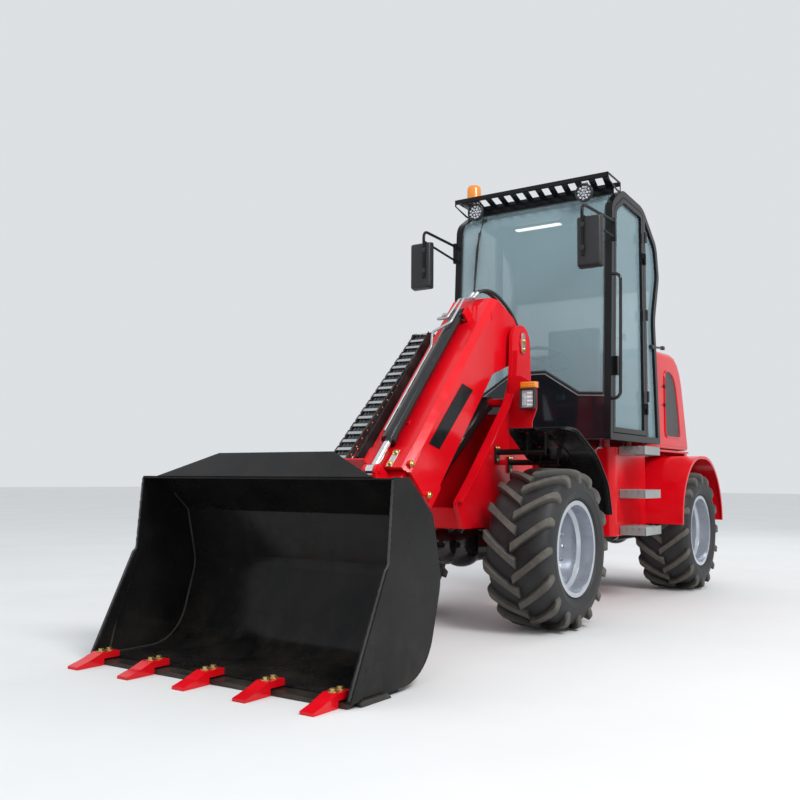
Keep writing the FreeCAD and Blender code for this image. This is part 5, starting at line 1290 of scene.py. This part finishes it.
def makeSteps():
    (x0, y0, _), (x1, y1, _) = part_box("steps")
    wall = stepBits["wall"]
    bm = bmesh.new()
    count = int((x1 - x0) / stepBits["tooth"])
    pitch = (x1 - x0) / count
    for top in stepBits["tops"]:
        low = top - stepBits["deep"]
        for share in stepBits["bars"]:
            y = y0 + 0.0005 + share * (y1 - y0 - wall - 0.001)
            deep = low if share in (0.0, 1.0) else top - 0.030
            line = [(x0, deep), (x1, deep)]
            for k in range(count):
                start = x1 - k * pitch
                line += [(start, top - stepBits["rise"]), (start - 0.28 * pitch, top - stepBits["rise"]),
                         (start - 0.42 * pitch, top), (start - 0.86 * pitch, top)]
            line.append((x0, top - stepBits["rise"]))
            prism(bm, line, "Y", y, y + wall)
        for x in (x0, x1 - wall):
            prism(bm, rectangle((y0, low), (y1, top - 0.004)), "X", x, x + wall, 0.0012, 1)
        for k in range(1, 5):
            x = x0 + k * (x1 - x0) / 5
            box(bm, (x - 0.003, y0, top - 0.028), (x + 0.003, y1, top - 0.010))
    piece("stepTreads", bm, "stepZinc", "rear_body", "steps")


makeSteps()
print("mirrors and steps made")


seatBits = {
    "middle": 0.249, "foot": (0.175, 0.17, 0.0, 0.035), "top": (0.178, 0.178, 0.195, 0.231), "folds": 7,
    "fold": (0.160, 0.155, 0.023, 0.0235, 0.014), "voxel": 0.006, "steps": 20, "pressure": 4.0, "cap": 0.009,
    # Cushion as (Y, Z above the floor); back as (X from the middle, Z above the floor)
    "cushion": ((-0.222, 0.240), (0.222, 0.240), (0.228, 0.334), (-0.228, 0.334)), "inset": 0.012,
    "back": ((-0.218, 0.345), (-0.128, 0.345), (-0.160, 0.888), (-0.236, 0.888)), "backHalf": 0.214,
    "cushionCentre": (0.0, 0.318), "backCentre": (-0.163, 0.62), "backWay": (-0.055, 0, 1), "piping": 0.0028,
}


# Seat: a sprung base, then a cushion and a back that swell under pressure
def evaluated(host):
    return bpy.data.meshes.new_from_object(host.evaluated_get(bpy.context.evaluated_depsgraph_get()))


def remade(mesh, kind, **values):
    host = linkUp("clothHost", mesh)
    modifier = host.modifiers.new("work", kind)
    for key, value in values.items():
        setattr(modifier, key, value)
    made = evaluated(host)
    bpy.data.objects.remove(host)
    return made


def puff(bm):
    mesh = remade(meshOf(bm), "REMESH", mode="VOXEL", voxel_size=seatBits["voxel"])
    host = linkUp("padCloth", mesh)
    cloth = host.modifiers.new("cloth", "CLOTH")
    cloth.settings.quality = 5
    cloth.settings.use_pressure = True
    cloth.settings.uniform_pressure_force = seatBits["pressure"]
    cloth.settings.effector_weights.gravity = 0.0
    cloth.point_cache.frame_start = 1
    cloth.point_cache.frame_end = seatBits["steps"]
    for step in range(1, seatBits["steps"] + 1):
        scene.frame_set(step)
    swollen = evaluated(host)
    for vert, start in zip(swollen.vertices, mesh.vertices):
        move = vert.co - start.co
        if move.length > seatBits["cap"]:
            vert.co = start.co + move * (seatBits["cap"] / move.length)
    bpy.data.objects.remove(host)
    scene.frame_set(1)
    return remade(swollen, "SUBSURF", levels=1, render_levels=1)


def makeSeat():
    low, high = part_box("seat")
    middle, ground = low[0] + seatBits["middle"], low[2]
    bm = bmesh.new()
    halfX, halfY, z0, z1 = seatBits["foot"]
    box(bm, (middle - halfX, -halfY, ground + z0), (middle + halfX, halfY, ground + z1), 0.005, 2)
    foldX, foldY, pitch, tall, bulge = seatBits["fold"]
    for k in range(seatBits["folds"]):
        spread = 0.0 if k % 2 else bulge
        z = ground + z1 + pitch * k
        box(bm, (middle - foldX - spread, -foldY - spread, z), (middle + foldX + spread, foldY + spread, z + tall),
            0.006, 2)
    halfX, halfY, z0, z1 = seatBits["top"]
    box(bm, (middle - halfX, -halfY, ground + z0), (middle + halfX, halfY, ground + z1), 0.006, 2)
    piece("seatBase", bm, "cabTrim", "rear_body", "seat")
    bm = bmesh.new()
    prism(bm, [(y, ground + z) for y, z in seatBits["cushion"]], "X", low[0] + seatBits["inset"],
          high[0] - seatBits["inset"], 0.030, 4)
    cushion = settle("seatCushion", puff(bm), "seatCloth", "rear_body", 60.0)
    bm = bmesh.new()
    prism(bm, [(middle + x, ground + z) for x, z in seatBits["back"]], "Y", -seatBits["backHalf"],
          seatBits["backHalf"], 0.028, 4)
    back = settle("seatBack", puff(bm), "seatCloth", "rear_body", 60.0)
    # Piping round each pad, laid on what the pad became
    bm = bmesh.new()
    for pad, (x, z), along in ((cushion, seatBits["cushionCentre"], forward),
                               (back, seatBits["backCentre"], Vector(seatBits["backWay"]).normalized())):
        line = []
        for k in range(73):
            angle = 2 * math.pi * k / 72
            way = along * math.cos(angle) + axle * math.sin(angle)
            hit, place = pad.ray_cast(Vector((middle + x, 0, ground + z)), way)[:2]
            if hit:
                line.append(place)
        pipe(bm, line, seatBits["piping"], 6)
    piece("seatPiping", bm, "cabTrim", "rear_body", slot="seat")


makeSeat()
print("seat made")

# Hood: a pressed shell, open below and towards the cab, with a ringed screen on each side
hoodBits = {
    "outline": ((-1.537, 1.100), (-1.537, 1.884), (-2.150, 1.900), (-2.250, 1.886), (-2.340, 1.838), (-2.405, 1.765),
                (-2.455, 1.665), (-2.548, 1.340), (-2.612, 1.100)),
    "half": 0.4965, "round": 0.050, "wall": 0.004,
    "window": ((-1.972, 1.422), (-1.971, 1.690), (-1.985, 1.728), (-2.020, 1.746), (-2.080, 1.748), (-2.150, 1.730),
               (-2.205, 1.692), (-2.245, 1.632), (-2.288, 1.510), (-2.325, 1.360), (-2.345, 1.245), (-2.338, 1.216),
               (-2.310, 1.208), (-2.010, 1.207), (-1.982, 1.218), (-1.974, 1.250)),
    "ring": 0.0085, "latchZ": (1.612, 1.463), "latchX": (-1.992, -1.956, -1.948), "latchTall": 0.011,
    "latchOut": 0.013, "button": ((0.009, 0.0), (0.009, 0.015), (0.0, 0.015)), "hinges": (-0.30, 0.30),
    "hinge": ((0.0, 0.0), (0.011, 0.0), (0.011, 0.060), (0.0, 0.060)), "hingePlace": (-1.556, 1.852),
    "leaf": ((-1.592, -0.022, 1.856), (-1.551, 0.022, 1.881)), "louvres": 6, "louvreSteps": (0.10, 0.13),
    # One slat as (X, Z) from its place on the back
    "slat": ((0.003, 0.012), (-0.013, -0.012), (-0.011, -0.016), (0.004, -0.010)), "slatHalf": 0.27,
}


def makeHood():
    half = hoodBits["half"]
    bm = bmesh.new()
    prism(bm, hoodBits["outline"], "Y", -half, half, hoodBits["round"], 6)
    bm.normal_update()
    openings = [f for f in bm.faces if f.normal.z < -0.6 or (f.normal.x > 0.6 and f.calc_center_median().x > -1.60)]
    bmesh.ops.delete(bm, geom=openings, context="FACES")
    shell = remade(meshOf(bm), "SOLIDIFY", thickness=hoodBits["wall"], offset=-1.0)
    made = settle("hoodShell", shell, "redPaint", "hood_body", 28.0)
    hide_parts("hood")
    screen, ring, latch, slats = (bmesh.new() for _ in range(4))
    for side in (1, -1):
        prism(screen, hoodBits["window"], "Y", *span(side, half, half + 0.002))
        line = [(x, side * (half + 0.001), z) for x, z in hoodBits["window"]]
        pipe(ring, line + line[:2], hoodBits["ring"], 10, 0.012)
        low, high = span(side, half, half + hoodBits["latchOut"])
        x0, x, x1 = hoodBits["latchX"]
        for z in hoodBits["latchZ"]:
            box(latch, (x0, low, z - hoodBits["latchTall"]), (x1, high, z + hoodBits["latchTall"]), 0.003, 2)
            lathe(latch, hoodBits["button"], (x, side * half, z), side * axle, 14)
    # Slats over the air outlet in the back
    top, low = (Vector(p) for p in hoodBits["outline"][-3:-1])
    first, step = hoodBits["louvreSteps"]
    for k in range(hoodBits["louvres"]):
        spot = top + (low - top) * (first + step * k)
        prism(slats, [spot + Vector(p) for p in hoodBits["slat"]], "Y", -hoodBits["slatHalf"], hoodBits["slatHalf"],
              0.001, 1)
    hinge = bmesh.new()
    x, z = hoodBits["hingePlace"]
    near, far = (Vector(p) for p in hoodBits["leaf"])
    for y in hoodBits["hinges"]:
        lathe(hinge, hoodBits["hinge"], (x, y - 0.030, z), axle, 16)
        box(hinge, near + y * axle, far + y * axle, 0.002, 1)
    piece("hoodHinges", hinge, "frameBlack", "hood_body")
    piece("hoodScreens", screen, "wireMesh", "hood_body", "hood_mesh")
    piece("hoodRings", ring, "redPaint", "hood_body")
    piece("hoodLatches", latch, "mouldedBlack", "hood_body")
    piece("hoodSlats", slats, "mouldedBlack", "hood_body")


makeHood()

# Front fenders: inner skirts, and a dark skin over the stays
fenderBits = {"skirtY": 0.398, "skirtWall": 0.004, "clear": 0.512, "front": (0.556, 1.122), "knee": (0.318, 0.975),
              "stays": ((0.4314, 0.4446), (0.5509, 0.5641)), "tubeEnd": 0.5641}


def makeFenderBits():
    axleX, axleZ = places["frontAxleX"], places["axleZ"]
    frontX, frontZ = fenderBits["front"]
    kneeX, kneeZ = fenderBits["knee"]
    skirts = bmesh.new()
    stays = bmesh.new()
    for side, node in ((1, "front_fender_left"), (-1, "front_fender_right")):
        upper, lower = [], []
        for k in range(27):
            x = frontX - k * (frontX + 0.112) / 26
            if x > kneeX:
                share = (frontX - x) / (frontX - kneeX)
                z = frontZ + (kneeZ - frontZ) * share
            else:
                z = max(axleZ + 0.16, axleZ + math.sqrt(max(0.0, fenderBits["clear"] ** 2 - (x - axleX) ** 2)))
            top = strike(node, (x, side * (fenderBits["skirtY"] + 0.002), z - 0.02), (0, 0, 1)).z
            upper.append((x, top + 0.001))
            lower.append((x, min(z, top - 0.004)))
        near = fenderBits["skirtY"]
        prism(skirts, upper + lower[::-1], "Y", *span(side, near, near + fenderBits["skirtWall"]))
        for x, z in tower["brackets"]:
            pipe(stays, [(x, side * 0.222, z), (x, side * fenderBits["tubeEnd"], z)], 0.0177, 20)
            for a, b in fenderBits["stays"]:
                top = strike(node, (x, side * (a + b) / 2, z + 0.02), (0, 0, 1)).z
                low, high = span(side, a, b)
                box(stays, (x - 0.0187, low, z - 0.019), (x + 0.0187, high, top), 0.0)
    piece("fenderSkirts", skirts, "blackPaint", "front_body")
    piece("fenderStays", stays, "blackPaint", "front_body")


makeFenderBits()

# Cab fittings: lines on the windscreen as (Y, Z)
cabBits = {
    "sealY": 0.566, "sealLow": 1.43, "sealHigh": 2.865, "sealRadius": 0.0065,
    "rail": ((-0.556, 1.436), (-0.384, 1.446), (-0.132, 1.607), (0.132, 1.607), (0.384, 1.446), (0.556, 1.436)),
    # Rail and the bright strip under it, a painted highlight of the rail: name, finish, how far ahead, how far below
    # and radius
    "rails": (("screenRail", "mouldedBlack", 0.0, 0.0, 0.010), ("screenTrim", "zincSteel", 0.004, 0.016, 0.0035)),
    "roofLamp": (-1.155, -1.105, -0.40, -0.02), "lampFoot": (0.006, 0.012),
    "wiper": ((-0.405, 2.790), (-0.442, 2.330)), "blade": ((-0.418, 2.690), (-0.462, 2.060)),
    "motor": ((0.018, 0.0), (0.018, 0.012), (0.013, 0.022), (0.006, 0.026), (0.0, 0.026)),
    "armOff": (0.022, 0.034, 0.018), "armRadius": 0.0055, "bladeOff": 0.009, "bladeRadius": 0.006,
    "yoke": (0.010, 0.0035), "stay": ((-1.345, 0.610, 1.850), (-1.600, 0.610, 1.872)), "stayRadius": 0.008,
    "strip": (0.006, 0.012, 0.560, 2.926), "hingeZ": (1.42, 2.02, 2.60), "hingeX": 0.009, "hingeY": 0.636,
    "hinge": ((0.0, 0.0), (0.0085, 0.0), (0.010, 0.002), (0.010, 0.078), (0.0085, 0.080), (0.0, 0.080)),
    "latch": ((-0.875, 0.566, 1.835), (-0.810, 0.590, 1.885)), "latchRadius": 0.006,
    "handle": ((-0.85, 0.570, 1.86), (-0.85, 0.548, 1.86), (-0.78, 0.548, 1.845)),
}


def onScreen(y, z, out=0.0):
    return strike("windscreen", (0.4, y, z), -forward) + out * forward


def makeScreenTrims():
    bm = bmesh.new()
    sealY, low, high = cabBits["sealY"], cabBits["sealLow"], cabBits["sealHigh"]
    for side in (1, -1):
        pipe(bm, [onScreen(side * sealY, low + (high - low) * k / 24) for k in range(25)], cabBits["sealRadius"], 8)
    pipe(bm, [onScreen(y, high) for y in (-sealY, sealY)], cabBits["sealRadius"], 8)
    piece("screenSeals", bm, "hoseRubber", "rear_body", slot="black_plastic")
    # Rail along the screen's stepped lower edge, with a thin bright strip below it that is a painted highlight of the
    # rail
    rail = cabBits["rail"]
    spots = []
    for (ya, za), (yb, zb) in zip(rail, rail[1:]):
        spots += [onScreen(ya + (yb - ya) * k / 7, za + (zb - za) * k / 7) for k in range(7)]
    spots.append(onScreen(*rail[-1]))
    for name, finish, out, drop, radius in cabBits["rails"]:
        bm = bmesh.new()
        pipe(bm, [spot + Vector((out, 0, -drop)) for spot in spots], radius, 8)
        piece(name, bm, finish, "rear_body")


def makeRoofLamp():
    x0, x1, y0, y1 = cabBits["roofLamp"]
    ceiling = strike("cab_roof", ((x0 + x1) / 2, (y0 + y1) / 2, 2.5), up).z
    bm = bmesh.new()
    box(bm, (x0, y0, ceiling - 0.020), (x1, y1, ceiling - 0.004), 0.005, 3)
    piece("roofLight", bm, "litCell", "rear_body")
    edgeX, edgeY = cabBits["lampFoot"]
    bm = bmesh.new()
    box(bm, (x0 - edgeX, y0 - edgeY, ceiling - 0.010), (x1 + edgeX, y1 + edgeY, ceiling), 0.003, 2)
    piece("roofLightFoot", bm, "cabTrim", "rear_body")


def makeWiper():
    # Motor cover, arm and blade on the screen
    bm = bmesh.new()
    (ya, za), (yb, zb) = cabBits["wiper"]
    near, middle, far = cabBits["armOff"]
    head = onScreen(ya, za)
    lathe(bm, cabBits["motor"], head, forward, 24)
    pipe(bm, [head + near * forward, onScreen((ya + yb) / 2, (za + zb) / 2, middle), onScreen(yb, zb, far)],
         cabBits["armRadius"], 8, 0.03)
    ends = [onScreen(y, z, cabBits["bladeOff"]) for y, z in cabBits["blade"]]
    pipe(bm, ends, cabBits["bladeRadius"], 6)
    out, radius = cabBits["yoke"]
    for share in (0.25, 0.75):
        pipe(bm, [ends[0].lerp(ends[1], share), ends[0].lerp(ends[1], 0.5) + out * forward], radius, 6)
    piece("wiperArm", bm, "mouldedBlack", "rear_body")


visorBits = {
    "flange": 0.031, "lip": 0.022, "slats": 12, "slatHalf": 0.024, "slatInset": 0.006, "slatThick": 0.0015,
    "lean": 0.030, "bar": 0.013, "level": 0.034, "rearBar": (0.020, 0.008, 0.022), "wall": 0.004,
    "seat": (-0.655, -0.52, 0.065, 0.007),
}


def makeVisor(low, high):
    # Thin front flange, slanting slats, a rear bar and open end frames
    back, front, half, top = low[0], high[0], high[1], high[2]
    bottom, level = low[2], top - visorBits["level"]
    bar, flange, wall = visorBits["bar"], visorBits["flange"], visorBits["wall"]
    bm = bmesh.new()
    box(bm, (front - wall, -half, top - flange), (front, half, top), 0.001, 1)
    box(bm, (front - visorBits["lip"], -half, top - flange), (front - 0.003, half, top - flange + wall), 0.001, 1)
    deep, below, above = visorBits["rearBar"]
    box(bm, (back, -half, level - below), (back + deep, half, level + above), 0.002, 2)
    pitch = 2 * half / visorBits["slats"]
    wide, lean, thick = visorBits["slatHalf"], visorBits["lean"], visorBits["slatThick"]
    x0, x1 = back + visorBits["slatInset"], front - visorBits["slatInset"]
    for k in range(visorBits["slats"]):
        y = -half + (k + 0.5) * pitch
        prism(bm, [(x1, y + lean + wide), (x1, y + lean - wide), (x0, y - lean - wide), (x0, y - lean + wide)], "Z",
              level - thick, level + thick)
    # Each end frame: top, front, slanting and rear bars round an opening
    corners = [(back, level + above), (front, top), (front, level - 0.014), (back + 0.075, bottom + 0.002),
               (back, bottom + 0.002)]
    inner = [(back + bar, level + 0.009), (front - bar, top - bar - 0.004), (front - bar, level - 0.010),
             (back + 0.070, bottom + bar + 0.004), (back + bar, bottom + bar + 0.004)]
    for side in (1, -1):
        for k in range(5):
            j = (k + 1) % 5
            prism(bm, [corners[k], corners[j], inner[j], inner[k]], "Y", *span(side, half - wall, half))
    x, y, wide, tall = visorBits["seat"]
    box(bm, (x - wide, y - wide, level - 0.002), (x + wide, y + wide, level + tall), 0.001, 1)
    piece("visorFrame", bm, "frameBlack", "rear_body", "visor")
    # Strip between visor and roof
    near, far, half, top = cabBits["strip"]
    bm = bmesh.new()
    box(bm, (back + near, -half, bottom + 0.002), (back + far, half, top), 0.001, 1)
    piece("visorStrip", bm, "frameBlack", "rear_body")


def makeWindowStay():
    bm = bmesh.new()
    near, far = (Vector(p) for p in cabBits["stay"])
    pipe(bm, [near, far], cabBits["stayRadius"], 12)
    for spot in (near, far):
        box(bm, spot - Vector((0.020, 0.014, 0.014)), spot + Vector((0.020, 0.012, 0.014)), 0.004, 2)
    piece("windowStay", bm, "mouldedBlack", "rear_body")


def makeDoorBits():
    bm = bmesh.new()
    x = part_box("door_frame")[0][0] + cabBits["hingeX"]
    for z in cabBits["hingeZ"]:
        lathe(bm, cabBits["hinge"], (x, cabBits["hingeY"], z), up, 16)
    piece("doorHinges", bm, "mouldedBlack", "door")
    bm = bmesh.new()
    box(bm, *cabBits["latch"], 0.005, 2)
    pipe(bm, cabBits["handle"], cabBits["latchRadius"], 8, 0.012)
    piece("doorLatch", bm, "castIron", "door")


makeScreenTrims()
makeRoofLamp()
makeWiper()
makeWindowStay()
makeVisor(*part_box("visor"))
makeDoorBits()

# Small fittings: places on the boom as T, Y and N, the Y from the boom's right face
fittings = {
    "guard": ((0.300, -0.0085, 0.262), (1.380, -0.0045, 0.398)), "tabs": (0.34, 0.68, 1.02, 1.34), "tabHalf": 0.02,
    "tab": (-0.006, 0.240, 0.285), "bracket": (((1.395, -0.122, 0.252), (1.440, 0.010, 0.257)),
                                               ((1.436, -0.122, 0.252), (1.441, -0.004, 0.330))),
    "screws": (1.4405, (0.025, 0.095), 0.300, 0.020), "clampStart": (-0.4, 0.366, 1.069),
    "clamp": ((0, -0.022, -0.018), (0.042, -0.022, -0.018), (0.042, 0.022, 0.018), (0, 0.022, 0.018)),
    "clampNut": ((0.013, 0.0), (0.013, 0.008), (0.0, 0.008)), "clampRadius": 0.006,
}


def makeFittings():
    turn = boomTurn()
    side = strike("boom", boomSpot(0.9, -0.5, 0.24), axle).y
    # A guard beside the chain, held by four tabs
    near, half = fittings["tab"], fittings["tabHalf"]
    boxes = [fittings["guard"]] + [((t - half, near[0], near[1]), (t + half, 0.0, near[2])) for t in fittings["tabs"]]
    for name, finish, parts in (("chainGuard", "chainPlastic", boxes), ("chainBracket", "zincSteel",
                                                                        fittings["bracket"])):
        bm = bmesh.new()
        for low, high in parts:
            box(bm, Vector(low) + side * axle, Vector(high) + side * axle, 0.001, 1)
        bm.transform(turn)
        piece(name, bm, finish, "boom_body")
    t, offs, n, size = fittings["screws"]
    bolts("bracketScrews", [(boomSpot(t, side - y, n), boomWay(1, 0, 0), size) for y in offs], "boom_body")
    # U clamp on the rear frame's front face
    spot = strike("rear_frame", fittings["clampStart"], -forward)
    bm = bmesh.new()
    line = [Vector(v) for v in fittings["clamp"]]
    pipe(bm, [spot + v for v in line], fittings["clampRadius"], 10, 0.016)
    for v in (line[-1], line[0]):
        lathe(bm, fittings["clampNut"], spot + v, forward, 6)
    piece("frameClamp", bm, "zincSteel", "rear_body")


makeFittings()
print("hood, fenders, cab and fittings made")
